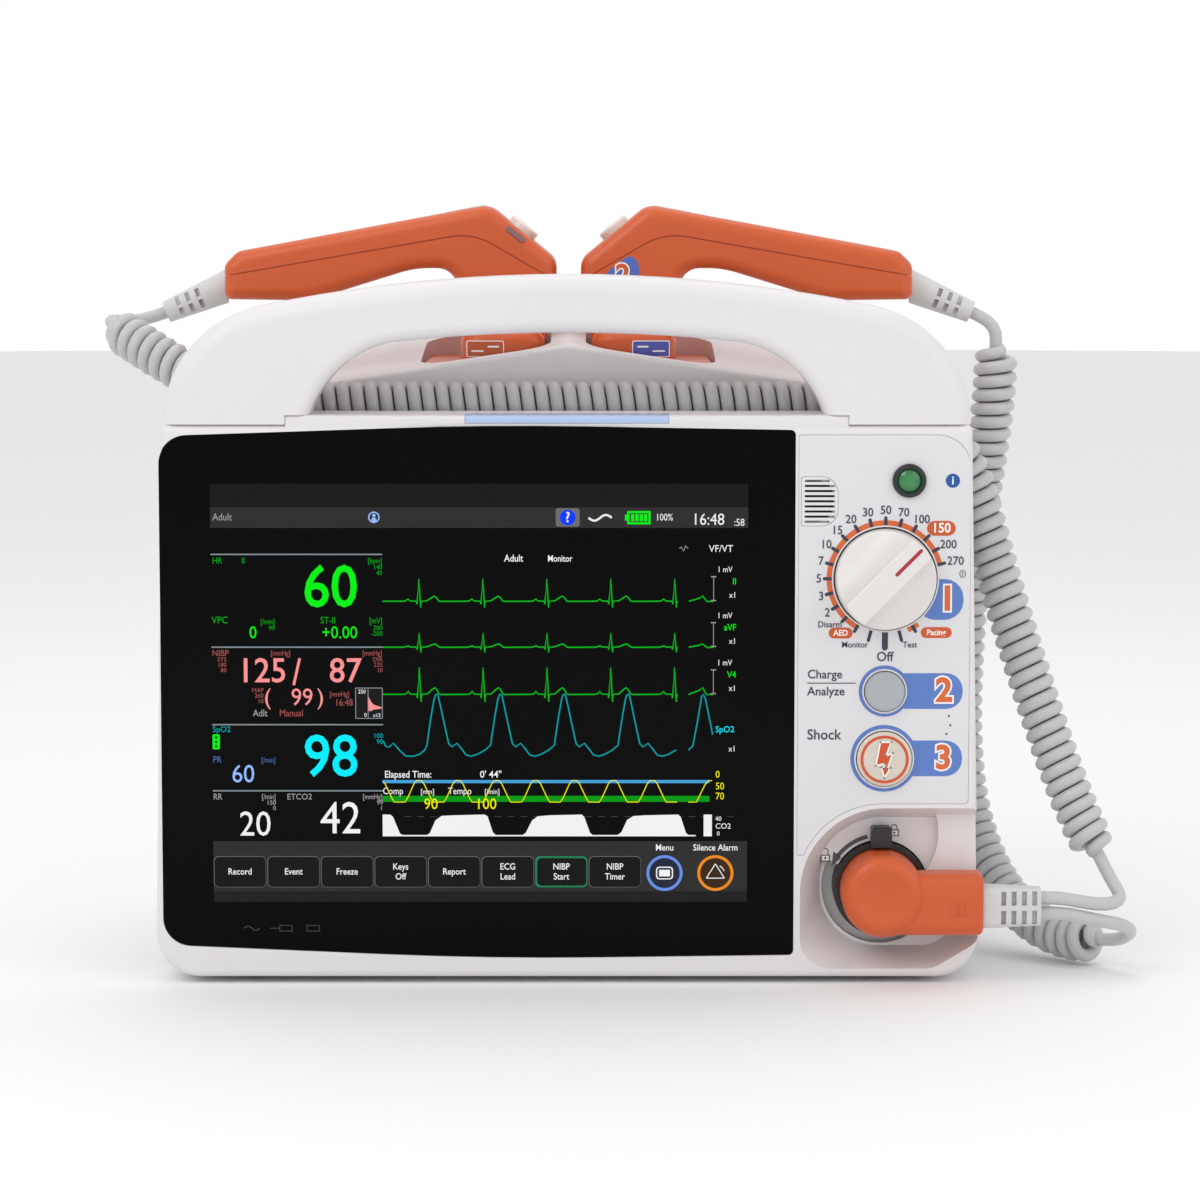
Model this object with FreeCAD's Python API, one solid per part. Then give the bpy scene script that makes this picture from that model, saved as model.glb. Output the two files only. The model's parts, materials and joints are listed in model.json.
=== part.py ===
import FreeCAD, Part
import math
import os

# Monitor defibrillator with two external paddles. Millimetres, +Z up, the screen faces -Y.
# Origin: the middle of the footprint, on the surface that the feet stand on.

V = FreeCAD.Vector

# ---- overall sizes
FRONT_HALF_WIDTH = 160.0        # front housing at its foot
TOP_HALF_WIDTH = 155.5          # front housing and handle at the seam between them
REAR_HALF_WIDTH = 148.0         # rear housing, narrower than the front frame
HALF_DEPTH = 105.0              # knob face to rear wall is twice this
FRONT_Y = -88.0                 # face of the front housing
SPLIT_Y = -56.0                 # seam between the front and rear housings
FOOT_HEIGHT = 2.5
SHOULDER_Z = 217.0              # top of the front housing at its sides
LIP_Z = 221.0                   # top of the front housing under the hand gap
DECK_Z = 213.5                  # deck behind the handle
DECK_THICKNESS = 4.0
WALL = 3.0
FACE = 5.0                      # thickness of the front wall
HOUSING_CORNER = 17.0
SHOULDER_CORNER = 30.0          # rear housing's top corners
FIT = 0.3                       # gap between parts of different bodies
SEAT = 0.15                     # gap round a part that sits in a pocket

# ---- carry handle
HANDLE_CROWN_Z = 274.5
HANDLE_FRONT_Y = -87.0
HANDLE_BACK_Y = -55.0
CROWN_SLOPE = math.radians(11.6)
GAP_HALF_WIDTH = 101.0
GAP_BASE_Z = 208.0
GAP_CROWN_Z = 252.5
GAP_SLOPE = math.radians(6.0)
HANDLE_EDGE = 7.0
GAP_EDGE = 5.0
NOTCH_HALF_WIDTH = 108.0
HANDLE_GROOVE = 0.5             # line that shows between the handle and the front housing
HANDLE_GROOVE_DEPTH = 2.0

# ---- screen
GLASS_LEFT = -156.6
GLASS_RIGHT = 87.6
GLASS_BOTTOM = (15.5, 10.0, 11.5)   # at the left, the middle and the right
GLASS_TOP = (213.0, 217.2, 215.3)
GLASS_MIDDLE_X = -30.0
GLASS_CORNER = 11.0
GLASS_EDGE_RADIUS = 1500.0      # long bow of the top and bottom edges
GLASS_SUNK = 0.3
GLASS_THICKNESS = 2.2
GASKET_WIDTH = 4.0
GASKET_THICKNESS = 0.8
ACTIVE_LEFT = -137.8
ACTIVE_RIGHT = 69.7
ACTIVE_BOTTOM = 32.0
ACTIVE_TOP = 194.4
PANEL_BORDER = 5.0
PANEL_THICKNESS = 9.0

# ---- control panel
OVERLAY_LEFT = 89.0
OVERLAY_RIGHT = 155.0
OVERLAY_BOTTOM = 70.8
OVERLAY_TOP = 213.5
OVERLAY_THICKNESS = 0.8
OVERLAY_CORNER = 13.0
OVERLAY_STEP_X = 91.5           # its lower left corner sweeps round the scoop from here
OVERLAY_STEP_Z = 50.7
OVERLAY_STEP_ANGLE = math.radians(64.5)
OVERLAY_SWEEP = 33.0
CONTROL_X = 122.4
KNOB_Z = 158.2
KNOB_RADIUS = 19.4
KNOB_TAPER = 0.6                # smaller by this at the front
KNOB_HOLLOW_RADIUS = 16.0       # finger hollow on each side of the grip bar
KNOB_HOLLOW_SIDE = 20.5
KNOB_HOLLOW_RAISE = 4.0
SHAFT_RADIUS = 3.0
SHAFT_PLAY = 0.05
SELECTOR_RADIUS = 16.0
SELECTOR_DEPTH = 14.0
SELECTOR_Y = FRONT_Y + FACE     # the switch seats on the inside of the front wall
KNOB_CLEARANCE = 0.6
CHARGE_Z = 114.7
CHARGE_RADIUS = 7.7
CHARGE_TRAVEL = 2.0
SHOCK_Z = 88.5
SHOCK_RADIUS = 10.6
SHOCK_TRAVEL = 2.5
COLLAR_WIDTH = 0.6
COLLAR_HEIGHT = 1.2
BUTTON_PROUD = 3.2
BUTTON_FLANGE = 1.6
BUTTON_GAP = 0.4                # flange to the inside of the front wall
STEM_LENGTH = 3.0
COLLAR_GAP = 0.35
LAMP_X = 131.3
LAMP_Z = 196.0
LAMP_RADIUS = 6.5
LENS_RADIUS = 4.6
GRILLE_LEFT = 90.0
GRILLE_RIGHT = 104.0
GRILLE_BOTTOM = 178.6
GRILLE_TOP = 197.5
GRILLE_SLOTS = 9
GRILLE_THICKNESS = 1.4
SPEAKER_RADIUS = 15.0
ALARM_HALF_WIDTH = 39.0
ALARM_HEIGHT = 3.0

# ---- paddle connector
SOCKET_X = 122.0
SOCKET_Z = 36.0
SCOOP_LEFT = 90.2
SCOOP_TOP = 69.0
SCOOP_BOTTOM = 6.0
SCOOP_DEPTH = 15.0
SCOOP_DRAFT = (8.5, 6.5, 7.0)   # lean of its left, bottom and top walls over that depth
SCOOP_SWEEP = (33.0, 24.0)      # upper left corner at the face and at the floor
SCOOP_TOE = (12.0, 22.0)        # lower left corner at the face and at the floor
SCOOP_HEEL_X = 142.0            # from here its bottom rises round the housing's corner
SCOOP_HEEL_RISE = 17.0
SHELF_DEPTH = 11.0              # level floor above the lock ring, less deep than the scoop
SHELF_END = math.radians(151)   # it ends in a small step at this angle round the socket
SHELF_REACH = 60.0              # past every wall of the scoop
SHELF_GAP = 0.6                 # round the lock ring
BLOCK_DEPTH = 7.7               # raised block that the plug's arm passes over
BLOCK_LEFT = 130.0
BLOCK_BOTTOM = 24.0
BLOCK_HOLLOW = (119.0, 58.0, 25.4)  # round hollow in its side: centre and radius
POCKET_RADIUS = 22.7
POCKET_DEPTH = 6.0
PLUG_RADIUS = 16.0
SOCKET_RADIUS = PLUG_RADIUS - 2.0
SOCKET_LENGTH = 26.0
LOCK_RADIUS = PLUG_RADIUS + 2.3
LOCK_LENGTH = 13.0
LEVER_REACH = 25.0
LEVER_WIDTH = 7.8
LEVER_DEPTH = 8.5
PLUG_RIM = 5.0                  # rounding of the plug's front edge
DISH_RADIUS = 10.5              # shallow dish in its front
DISH_SPHERE = 28.0
PLUG_PROUD = 13.0
ARM_RIGHT = 160.5
ARM_HEIGHT = 24.0
ARM_DEPTH = 18.0
ARM_DROP = 3.5
RELIEF_LENGTH = 22.5
RELIEF_HEIGHT = 16.6
RELIEF_DEPTH = 12.0
RELIEF_Z = 31.2

# ---- paddles and their tray
TRAY_HALF_WIDTH = 97.0
TRAY_FRONT_Y = -31.5
TRAY_BACK_Y = 62.0
TRAY_EDGE_Z = 231.5
TRAY_PEAK_Z = 246.0
TRAY_RISE = 9.0                 # its top climbs by this from front to back
PADDLE_Y = 10.0
BASE_INNER = 8.0
BASE_OUTER = 58.0
BASE_LENGTH = 76.0
BASE_BOTTOM_Z = 229.0
BASE_PLATE_Z = 238.5            # top of the plate that fills the well
BASE_TOP_Z = 251.0              # top of the block that carries the grip
BASE_BLOCK = (9.5, 43.0)
BASE_BLOCK_INSET = 2.0
BASE_BLOCK_CORNER = 9.0
BASE_CORNER = 12.0
WELL_PLAY = 1.0
ELECTRODE_THICKNESS = 2.0
ELECTRODE_INSET = 3.0
GRIP_WIDTH = 36.0
GRIP_EDGE = 5.0
GRIP_END = 138.5
RELIEF_START = V(138.5, PADDLE_Y, 268.0)
RELIEF_END = V(163.5, PADDLE_Y, 257.5)
RELIEF_ROOT = 3.0               # hidden start inside the grip's end wall
PADDLE_RELIEF_RADIUS = 5.6
GRIP_TOP_Z = 310.0              # above every point of a grip
SHELL_GROOVE = 0.5              # line that shows between the paddle's two shells
GROOVE_DEPTH = 0.8

# ---- cords
WIRE = 5.2                      # lead diameter
COIL = 18.0                     # curly cord, outside diameter

# ---- rear and inside
RECORDER_Y = (2.0, 82.0)
RECORDER_Z = (112.0, 186.0)
RECORDER_BAY_DEPTH = 58.0
DOOR_THICKNESS = 3.0
DOOR_LAP = 3.0                  # past the bay on every side
KNUCKLE_RADIUS = 2.0
KNUCKLE_LENGTH = 12.0
KNUCKLE_DROP = 0.5              # hinge axis under the door's lower edge
ROLL_RADIUS = 22.0
ROLL_WIDTH = 50.0
PLATEN_RADIUS = 5.0
BATTERY_X = (22.0, 112.0)
BATTERY_Z = (12.0, 74.0)
BATTERY_LENGTH = 62.0
INLET_X = -86.0
INLET_Z = 32.0
PANEL_Y = (-44.0, -8.0)
PANEL_Z = (38.0, 170.0)
VENT_COUNT = 8
VENT_Z = 120.0
VENT_PITCH = 7.0
SOCKET_PROUD = 6.0
SENSOR_SOCKET_Z = (148.0, 116.0, 84.0)
NIBP_Z = 56.0
FOOT_X = 122.0
FOOT_FRONT_Y = -66.0
FOOT_BACK_Y = 84.0
FOOT_RADIUS = 9.0
SCREW_X = 136.0
SCREW_Z = (22.0, 176.0)
SCREW_RADIUS = 1.9
SCREW_HEAD = 3.2
SCREW_SUNK = 0.2


# ---- shape helpers
def block(x, y, z):
    """Box from three (low, high) pairs."""
    return Part.makeBox(x[1] - x[0], y[1] - y[0], z[1] - z[0], V(x[0], y[0], z[0]))


def rod(start, end, radius):
    """Cylinder between two points."""
    return Part.makeCylinder(radius, (end - start).Length, start, end - start)


def rod_y(x, z, radius, front, back):
    """Cylinder along Y, the way every front control lies."""
    return Part.makeCylinder(radius, back - front, V(x, front, z), V(0, 1, 0))


def ring_y(x, z, outer, inner, front, back):
    """Tube along Y."""
    return rod_y(x, z, outer, front, back).cut(rod_y(x, z, inner, front, back))


def place(u, v, w, axis):
    """Point from its two coordinates in a plane and its height along the plane's axis."""
    return {"x": V(w, u, v), "y": V(u, w, v), "z": V(u, v, w)}[axis]


def rounded_edges(corners, axis, height):
    """Closed outline through (u, v, radius) corners, each rounded by a tangent arc."""
    points = [place(u, v, height, axis) for u, v, radius in corners]
    entries = []
    exits = []
    arcs = []
    for index, (u, v, radius) in enumerate(corners):
        corner = points[index]
        before = (points[index - 1] - corner).normalize()
        after = (points[(index + 1) % len(points)] - corner).normalize()
        half = before.getAngle(after) / 2
        reach = radius / math.tan(half)
        entries.append(corner + before * reach)
        exits.append(corner + after * reach)
        middle = (before + after).normalize() * (radius / math.sin(half) - radius)
        arcs.append(corner + middle)
    edges = []
    for index in range(len(points)):
        if corners[index][2] > 0:
            edges.append(Part.Arc(entries[index], arcs[index], exits[index]).toShape())
        start = exits[index]
        end = entries[(index + 1) % len(points)]
        if (end - start).Length > 1e-6:
            edges.append(Part.LineSegment(start, end).toShape())
    return edges


def prism(corners, axis, low, high):
    """Solid of one outline pulled along an axis."""
    return pull(rounded_edges(corners, axis, low), axis, high - low)


def tapered(first, first_y, last, last_y):
    """Solid between two outlines at two depths, with straight sides."""
    wires = [Part.Wire(Part.__sortEdges__(rounded_edges(corners, "y", y)))
             for corners, y in ((first, first_y), (last, last_y))]
    return Part.makeLoft(wires, True, True)


def pull(edges, axis, length):
    """Closed edges pulled along an axis."""
    face = Part.Face(Part.Wire(Part.__sortEdges__(edges)))
    return face.extrude(place(0, 0, length, axis))


def rectangle(u, v, radius):
    """Corners of a rounded rectangle for prism()."""
    return [(u[0], v[0], radius), (u[1], v[0], radius), (u[1], v[1], radius), (u[0], v[1], radius)]


def arch(half_width, base_z, crown_z, slope, front, back):
    """Solid under an arch: upright sides, one tangent corner arc each side and a long crown arc."""
    rise = math.tan(slope / 2)
    corner = (crown_z - base_z - half_width * rise) / (
        math.cos(slope) - (1 - math.sin(slope)) * rise)
    knee_x = half_width - corner * (1 - math.sin(slope))
    knee_z = base_z + corner * math.cos(slope)
    middle = math.pi / 4 - slope / 2
    mid_x = half_width - corner * (1 - math.cos(middle))
    mid_z = base_z + corner * math.sin(middle)
    left = Part.Arc(V(-half_width, front, base_z), V(-mid_x, front, mid_z), V(-knee_x, front, knee_z))
    crown = Part.Arc(V(-knee_x, front, knee_z), V(0, front, crown_z), V(knee_x, front, knee_z))
    right = Part.Arc(V(knee_x, front, knee_z), V(mid_x, front, mid_z), V(half_width, front, base_z))
    base = Part.LineSegment(V(half_width, front, base_z), V(-half_width, front, base_z))
    return pull([curve.toShape() for curve in (left, crown, right, base)], "y", back - front)


def edges_at(shape, axis, value, keep=lambda edge: True):
    """Edges that lie wholly at one coordinate of an axis."""
    found = []
    for edge in shape.Edges:
        box = edge.BoundBox
        low = {"x": box.XMin, "y": box.YMin, "z": box.ZMin}[axis]
        high = {"x": box.XMax, "y": box.YMax, "z": box.ZMax}[axis]
        if abs(low - value) < 1e-3 and abs(high - value) < 1e-3 and keep(edge):
            found.append(edge)
    return found


def fuse(*solids):
    """One solid from several that touch."""
    return solids[0].multiFuse(list(solids[1:])).removeSplitter()


def group(*solids):
    """Separate like pieces in one node."""
    return Part.makeCompound(list(solids))


def mirrored(shape):
    """The other hand of a piece, across the plane X = 0."""
    return shape.mirror(V(0, 0, 0), V(1, 0, 0))


nodes = {}


def add(name, shape):
    """Keep one named piece."""
    nodes[name] = shape


# ---- console shells
def front_outline(inset):
    """Outline of the front housing, shrunk by a wall."""
    low = FOOT_HEIGHT + inset
    side = FRONT_HALF_WIDTH - inset
    top_side = TOP_HALF_WIDTH - inset
    top = SHOULDER_Z - inset
    return [(-side, low, HOUSING_CORNER - inset), (side, low, HOUSING_CORNER - inset),
            (top_side, top, 2.0), (-top_side, top, 2.0)]


def rear_outline(inset):
    """Outline of the rear housing, shrunk by a wall."""
    low = FOOT_HEIGHT + inset
    side = REAR_HALF_WIDTH - inset
    return [(-side, low, HOUSING_CORNER - inset), (side, low, HOUSING_CORNER - inset),
            (side, DECK_Z - inset, SHOULDER_CORNER - inset),
            (-side, DECK_Z - inset, SHOULDER_CORNER - inset)]


def glass_outline(grow):
    """Outline of the screen glass, whose long edges bow outwards."""
    return [(GLASS_LEFT - grow, GLASS_BOTTOM[0] - grow, GLASS_CORNER),
            (GLASS_MIDDLE_X, GLASS_BOTTOM[1] - grow, GLASS_EDGE_RADIUS),
            (GLASS_RIGHT + grow, GLASS_BOTTOM[2] - grow, 2.0),
            (GLASS_RIGHT + grow, GLASS_TOP[2] + grow, 2.0),
            (GLASS_MIDDLE_X, GLASS_TOP[1] + grow, GLASS_EDGE_RADIUS),
            (GLASS_LEFT - grow, GLASS_TOP[0] + grow, GLASS_CORNER)]


def overlay_outline(grow):
    """Outline of the control label sheet; its lower left corner follows the scoop."""
    step_x = OVERLAY_STEP_X + grow * math.tan(OVERLAY_STEP_ANGLE / 2)
    run = (OVERLAY_BOTTOM - OVERLAY_STEP_Z) / math.tan(OVERLAY_STEP_ANGLE)
    return [(OVERLAY_LEFT - grow, OVERLAY_STEP_Z - grow, 0.5),
            (step_x, OVERLAY_STEP_Z - grow, 0.5),
            (step_x + run, OVERLAY_BOTTOM - grow, OVERLAY_SWEEP),
            (OVERLAY_RIGHT + grow, OVERLAY_BOTTOM - grow, 1.5),
            (OVERLAY_RIGHT + grow, OVERLAY_TOP + grow, OVERLAY_CORNER),
            (OVERLAY_LEFT - grow, OVERLAY_TOP + grow, 1.0)]


def scoop(grow):
    """The hollow that the paddle connector sits in, open towards the right side."""
    far = FRONT_HALF_WIDTH + 10.0
    deeper = (SCOOP_DEPTH + grow) / SCOOP_DEPTH
    outlines = []
    for share, sweep, toe in zip((0.0, deeper), SCOOP_SWEEP, SCOOP_TOE):
        left = SCOOP_LEFT - grow + share * SCOOP_DRAFT[0]
        low = SCOOP_BOTTOM - grow + share * SCOOP_DRAFT[1]
        high = SCOOP_TOP + grow - share * SCOOP_DRAFT[2]
        outlines.append([(left, low, toe), (SCOOP_HEEL_X, low, 10.0), (far, low + SCOOP_HEEL_RISE, 0.0),
                         (far, high, 0.0), (left, high, sweep)])
    return tapered(outlines[0], FRONT_Y, outlines[1], FRONT_Y + SCOOP_DEPTH + grow)


def scoop_floor(envelope):
    """Shelf above the lock ring and the block on its right, kept inside an envelope."""
    end_x = SOCKET_X + SHELF_REACH * math.cos(SHELF_END)
    end_z = SOCKET_Z + SHELF_REACH * math.sin(SHELF_END)
    back = FRONT_Y + SCOOP_DEPTH + POCKET_DEPTH + WALL
    shelf = prism([(SOCKET_X, SOCKET_Z, 0.0), (SOCKET_X + SHELF_REACH, SOCKET_Z, 0.0),
                   (SOCKET_X + SHELF_REACH, SOCKET_Z + SHELF_REACH, 0.0),
                   (end_x, SOCKET_Z + SHELF_REACH, 0.0), (end_x, end_z, 0.0)],
                  "y", FRONT_Y + SHELF_DEPTH, back)
    x, z, radius = BLOCK_HOLLOW
    raised = block((BLOCK_LEFT, FRONT_HALF_WIDTH), (FRONT_Y + BLOCK_DEPTH, back), (BLOCK_BOTTOM, SCOOP_TOP))
    raised = raised.cut(rod_y(x, z, radius, FRONT_Y, FRONT_Y + SHELF_DEPTH))
    ring = rod_y(SOCKET_X, SOCKET_Z, LOCK_RADIUS + SHELF_GAP, FRONT_Y, back - WALL)
    return fuse(shelf, raised).cut(ring).common(envelope)


def make_front_housing():
    """Front frame: face wall, side walls, glass and label pockets, control holes and the scoop."""
    body = prism(front_outline(0), "y", FRONT_Y, SPLIT_Y)
    body = body.makeFillet(3.0, edges_at(body, "y", FRONT_Y))
    lip = block((-NOTCH_HALF_WIDTH, NOTCH_HALF_WIDTH), (FRONT_Y + 1.5, SPLIT_Y),
                (SHOULDER_Z - WALL, LIP_Z))
    lip = lip.makeFillet(1.5, [edge for edge in edges_at(lip, "y", FRONT_Y + 1.5)
                               if edge.BoundBox.ZMin > LIP_Z - 0.1])
    body = fuse(body, lip)
    cavity = prism(front_outline(WALL), "y", FRONT_Y + FACE, SPLIT_Y + 1.0)
    body = body.cut(cavity)
    inside = prism(front_outline(0), "y", FRONT_Y, SPLIT_Y)
    liner = scoop(WALL).common(inside)
    floor_y = FRONT_Y + SCOOP_DEPTH
    cup = rod_y(SOCKET_X, SOCKET_Z, POCKET_RADIUS + WALL, floor_y, floor_y + POCKET_DEPTH + WALL)
    body = fuse(body, liner.cut(block((-FRONT_HALF_WIDTH, FRONT_HALF_WIDTH),
                                      (FRONT_Y - 1.0, FRONT_Y + 3.5),
                                      (0.0, SHOULDER_Z))), cup)
    cuts = [scoop(0),
            rod_y(SOCKET_X, SOCKET_Z, POCKET_RADIUS, floor_y - 1.0, floor_y + POCKET_DEPTH),
            prism(glass_outline(SEAT), "y", FRONT_Y - 1.0,
                  FRONT_Y + GLASS_SUNK + GLASS_THICKNESS + GASKET_THICKNESS),
            block((ACTIVE_LEFT - 1.0, ACTIVE_RIGHT + 1.0), (FRONT_Y, FRONT_Y + FACE + 1.0),
                  (ACTIVE_BOTTOM - 1.0, ACTIVE_TOP + 1.0)),
            prism(overlay_outline(SEAT), "y", FRONT_Y - 1.0, FRONT_Y + OVERLAY_THICKNESS),
            prism(grille_outline(SEAT), "y", FRONT_Y - 1.0, FRONT_Y + GRILLE_THICKNESS + 0.4),
            prism(grille_outline(-1.5), "y", FRONT_Y, FRONT_Y + FACE + 1.0),
            alarm_block(SEAT)]
    for x, z, radius in ((CONTROL_X, KNOB_Z, SHAFT_RADIUS + FIT),
                         (CONTROL_X, CHARGE_Z, CHARGE_RADIUS + FIT),
                         (CONTROL_X, SHOCK_Z, SHOCK_RADIUS + FIT),
                         (LAMP_X, LAMP_Z, LAMP_RADIUS - 1.0)):
        cuts.append(rod_y(x, z, radius, FRONT_Y - 1.0, FRONT_Y + FACE + 1.0))
    body = body.cut(cuts[0].multiFuse(cuts[1:]))
    body = fuse(body, scoop_floor(fuse(liner, cup)))
    return body.cut(rod_y(SOCKET_X, SOCKET_Z, SOCKET_RADIUS + SEAT, floor_y, floor_y + 2 * POCKET_DEPTH))


def battery_bay():
    """Walls of the battery bay inside the rear housing, and the room inside it."""
    deep = BATTERY_LENGTH + 2 * FIT
    bay = block((BATTERY_X[0] - WALL, BATTERY_X[1] + WALL),
                (HALF_DEPTH - deep - WALL, HALF_DEPTH - 1.0), (BATTERY_Z[0] - WALL, BATTERY_Z[1] + WALL))
    room = block((BATTERY_X[0] - 2 * FIT, BATTERY_X[1] + 2 * FIT),
                 (HALF_DEPTH - deep, HALF_DEPTH + 1.0),
                 (BATTERY_Z[0] - 2 * FIT, BATTERY_Z[1] + 2 * FIT))
    return bay, room


def make_rear_housing():
    """Rear shell: open at the front and under the deck, with its bays and vents cut through."""
    body = prism(rear_outline(0), "y", SPLIT_Y, HALF_DEPTH)
    body = body.makeFillet(6.0, edges_at(body, "y", HALF_DEPTH))
    body = body.cut(prism(rear_outline(WALL), "y", SPLIT_Y - 1.0, HALF_DEPTH - WALL))
    wide = (-REAR_HALF_WIDTH - 1.0, REAR_HALF_WIDTH + 1.0)
    body = body.cut(block(wide, (SPLIT_Y - 1.0, HALF_DEPTH + 1.0),
                          (DECK_Z - DECK_THICKNESS, DECK_Z + 1.0)))
    bay, room = battery_bay()
    body = fuse(body, bay)
    cuts = [block((-REAR_HALF_WIDTH - 1.0, -REAR_HALF_WIDTH + WALL + 1.0),
                  (RECORDER_Y[0] - FIT, RECORDER_Y[1] + FIT), (RECORDER_Z[0] - FIT, RECORDER_Z[1] + FIT)),
            room,
            block((INLET_X - 14.0, INLET_X + 14.0), (HALF_DEPTH - WALL - 1.0, HALF_DEPTH + 1.0),
                  (INLET_Z - 12.0, INLET_Z + 12.0)),
            block((-REAR_HALF_WIDTH - 1.0, -REAR_HALF_WIDTH + WALL + 1.0),
                  (PANEL_Y[0] + 3.0, PANEL_Y[1] - 3.0), (PANEL_Z[0] + 3.0, PANEL_Z[1] - 3.0))]
    for index in range(VENT_COUNT):
        z = VENT_Z + index * VENT_PITCH
        cuts.append(block((-60.0, 10.0), (HALF_DEPTH - WALL - 1.0, HALF_DEPTH + 1.0), (z, z + 3.0)))
    for x in (-SCREW_X, SCREW_X):
        for z in SCREW_Z:
            cuts.append(screw(x, z, 2 * WALL))
    return body.cut(cuts[0].multiFuse(cuts[1:]))


def make_top_deck():
    """Flat lid of the rear housing; the curly cord lies on its front strip."""
    body = prism(rear_outline(0), "y", SPLIT_Y, HALF_DEPTH)
    body = body.makeFillet(6.0, edges_at(body, "y", HALF_DEPTH))
    wide = (-REAR_HALF_WIDTH - 1.0, REAR_HALF_WIDTH + 1.0)
    return body.common(block(wide, (SPLIT_Y - 1.0, HALF_DEPTH + 1.0),
                             (DECK_Z - DECK_THICKNESS, DECK_Z + 1.0)))


def make_carry_handle():
    """One arch from shoulder to shoulder, with the hand gap cut through it."""
    body = arch(TOP_HALF_WIDTH, SHOULDER_Z, HANDLE_CROWN_Z, CROWN_SLOPE, HANDLE_FRONT_Y, HANDLE_BACK_Y)
    for y in (HANDLE_FRONT_Y, HANDLE_BACK_Y):
        body = body.makeFillet(HANDLE_EDGE, edges_at(body, "y", y, is_curved))
    gap = arch(GAP_HALF_WIDTH, GAP_BASE_Z, GAP_CROWN_Z, GAP_SLOPE,
               HANDLE_FRONT_Y - 1.0, HANDLE_BACK_Y + 1.0)
    body = body.cut(gap)
    body = body.cut(block((-NOTCH_HALF_WIDTH - SEAT, NOTCH_HALF_WIDTH + SEAT),
                          (HANDLE_FRONT_Y - 1.0, HANDLE_BACK_Y + 1.0), (SHOULDER_Z - 1.0, LIP_Z)))
    for y in (HANDLE_FRONT_Y, HANDLE_BACK_Y):
        inner = edges_at(body, "y", y, lambda edge: is_curved(edge) and in_gap(edge))
        body = body.makeFillet(GAP_EDGE, inner)
    core_x = TOP_HALF_WIDTH - HANDLE_GROOVE_DEPTH
    groove = block((-TOP_HALF_WIDTH, TOP_HALF_WIDTH), (HANDLE_FRONT_Y - 1.0, HANDLE_BACK_Y + 1.0),
                   (SHOULDER_Z - 1.0, SHOULDER_Z + HANDLE_GROOVE))
    core = block((-core_x, core_x),
                 (HANDLE_FRONT_Y + HANDLE_GROOVE_DEPTH, HANDLE_BACK_Y - HANDLE_GROOVE_DEPTH),
                 (SHOULDER_Z - 1.0, SHOULDER_Z + HANDLE_GROOVE))
    return body.cut(groove.cut(core))


def is_curved(edge):
    """True for an edge that isn't straight."""
    return not isinstance(edge.Curve, Part.Line)


def in_gap(edge):
    """True for an edge of the hand gap."""
    box = edge.BoundBox
    return max(abs(box.XMin), abs(box.XMax)) < GAP_HALF_WIDTH + 1.0 and box.ZMax < GAP_CROWN_Z + 1.0


def alarm_block(grow):
    """Body of the alarm lamp, let into the front lip."""
    return block((-ALARM_HALF_WIDTH - grow, ALARM_HALF_WIDTH + grow), (FRONT_Y + 1.0, FRONT_Y + 14.0),
                 (LIP_Z - ALARM_HEIGHT - grow, LIP_Z + 1.0))


def make_alarm_lamp():
    """Translucent strip that shows alarms from the front and above."""
    lamp = block((-ALARM_HALF_WIDTH, ALARM_HALF_WIDTH), (FRONT_Y + 1.5, FRONT_Y + 14.0),
                 (LIP_Z - ALARM_HEIGHT, LIP_Z))
    return lamp.makeFillet(1.5, [edge for edge in edges_at(lamp, "y", FRONT_Y + 1.5)
                                 if edge.BoundBox.ZMin > LIP_Z - 0.1])


def grille_outline(grow):
    """Outline of the speaker grille: straight on the left, rounded on the right."""
    return [(GRILLE_LEFT - grow, GRILLE_BOTTOM - grow, 1.0),
            (GRILLE_RIGHT + grow, GRILLE_BOTTOM - grow, 6.5),
            (GRILLE_RIGHT + grow, GRILLE_TOP + grow, 6.5),
            (GRILLE_LEFT - grow, GRILLE_TOP + grow, 1.0)]


def make_speaker_grille():
    """Slotted plate in front of the speaker."""
    plate = prism(grille_outline(0), "y", FRONT_Y, FRONT_Y + GRILLE_THICKNESS)
    pitch = (GRILLE_TOP - GRILLE_BOTTOM) / (GRILLE_SLOTS + 0.6)
    for index in range(GRILLE_SLOTS):
        z = GRILLE_BOTTOM + pitch * (index + 0.8)
        short = 2.0 if index in (0, GRILLE_SLOTS - 1) else 0.0
        slot = block((GRILLE_LEFT + 1.2, GRILLE_RIGHT - 1.2 - short), (FRONT_Y - 1.0, FRONT_Y + 3.0),
                     (z - 0.45, z + 0.45))
        plate = plate.cut(slot)
    return plate


# ---- screen and front controls
def make_screen():
    """Cover glass, its gasket and the display module behind the front wall."""
    glass_y = FRONT_Y + GLASS_SUNK
    gasket_y = glass_y + GLASS_THICKNESS
    add("screen_glass", prism(glass_outline(0), "y", glass_y, gasket_y))
    gasket = prism(glass_outline(-1.0), "y", gasket_y, gasket_y + GASKET_THICKNESS)
    inside = prism(glass_outline(-1.0 - GASKET_WIDTH), "y", gasket_y - 1.0, gasket_y + 2.0)
    add("glass_gasket", gasket.cut(inside))
    module_y = FRONT_Y + FACE
    module = block((ACTIVE_LEFT - PANEL_BORDER, ACTIVE_RIGHT + PANEL_BORDER),
                   (module_y, module_y + PANEL_THICKNESS),
                   (ACTIVE_BOTTOM - PANEL_BORDER, ACTIVE_TOP + PANEL_BORDER))
    active = block((ACTIVE_LEFT, ACTIVE_RIGHT), (gasket_y + 0.2, module_y),
                   (ACTIVE_BOTTOM, ACTIVE_TOP))
    add("display_module", fuse(module, active))


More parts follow.
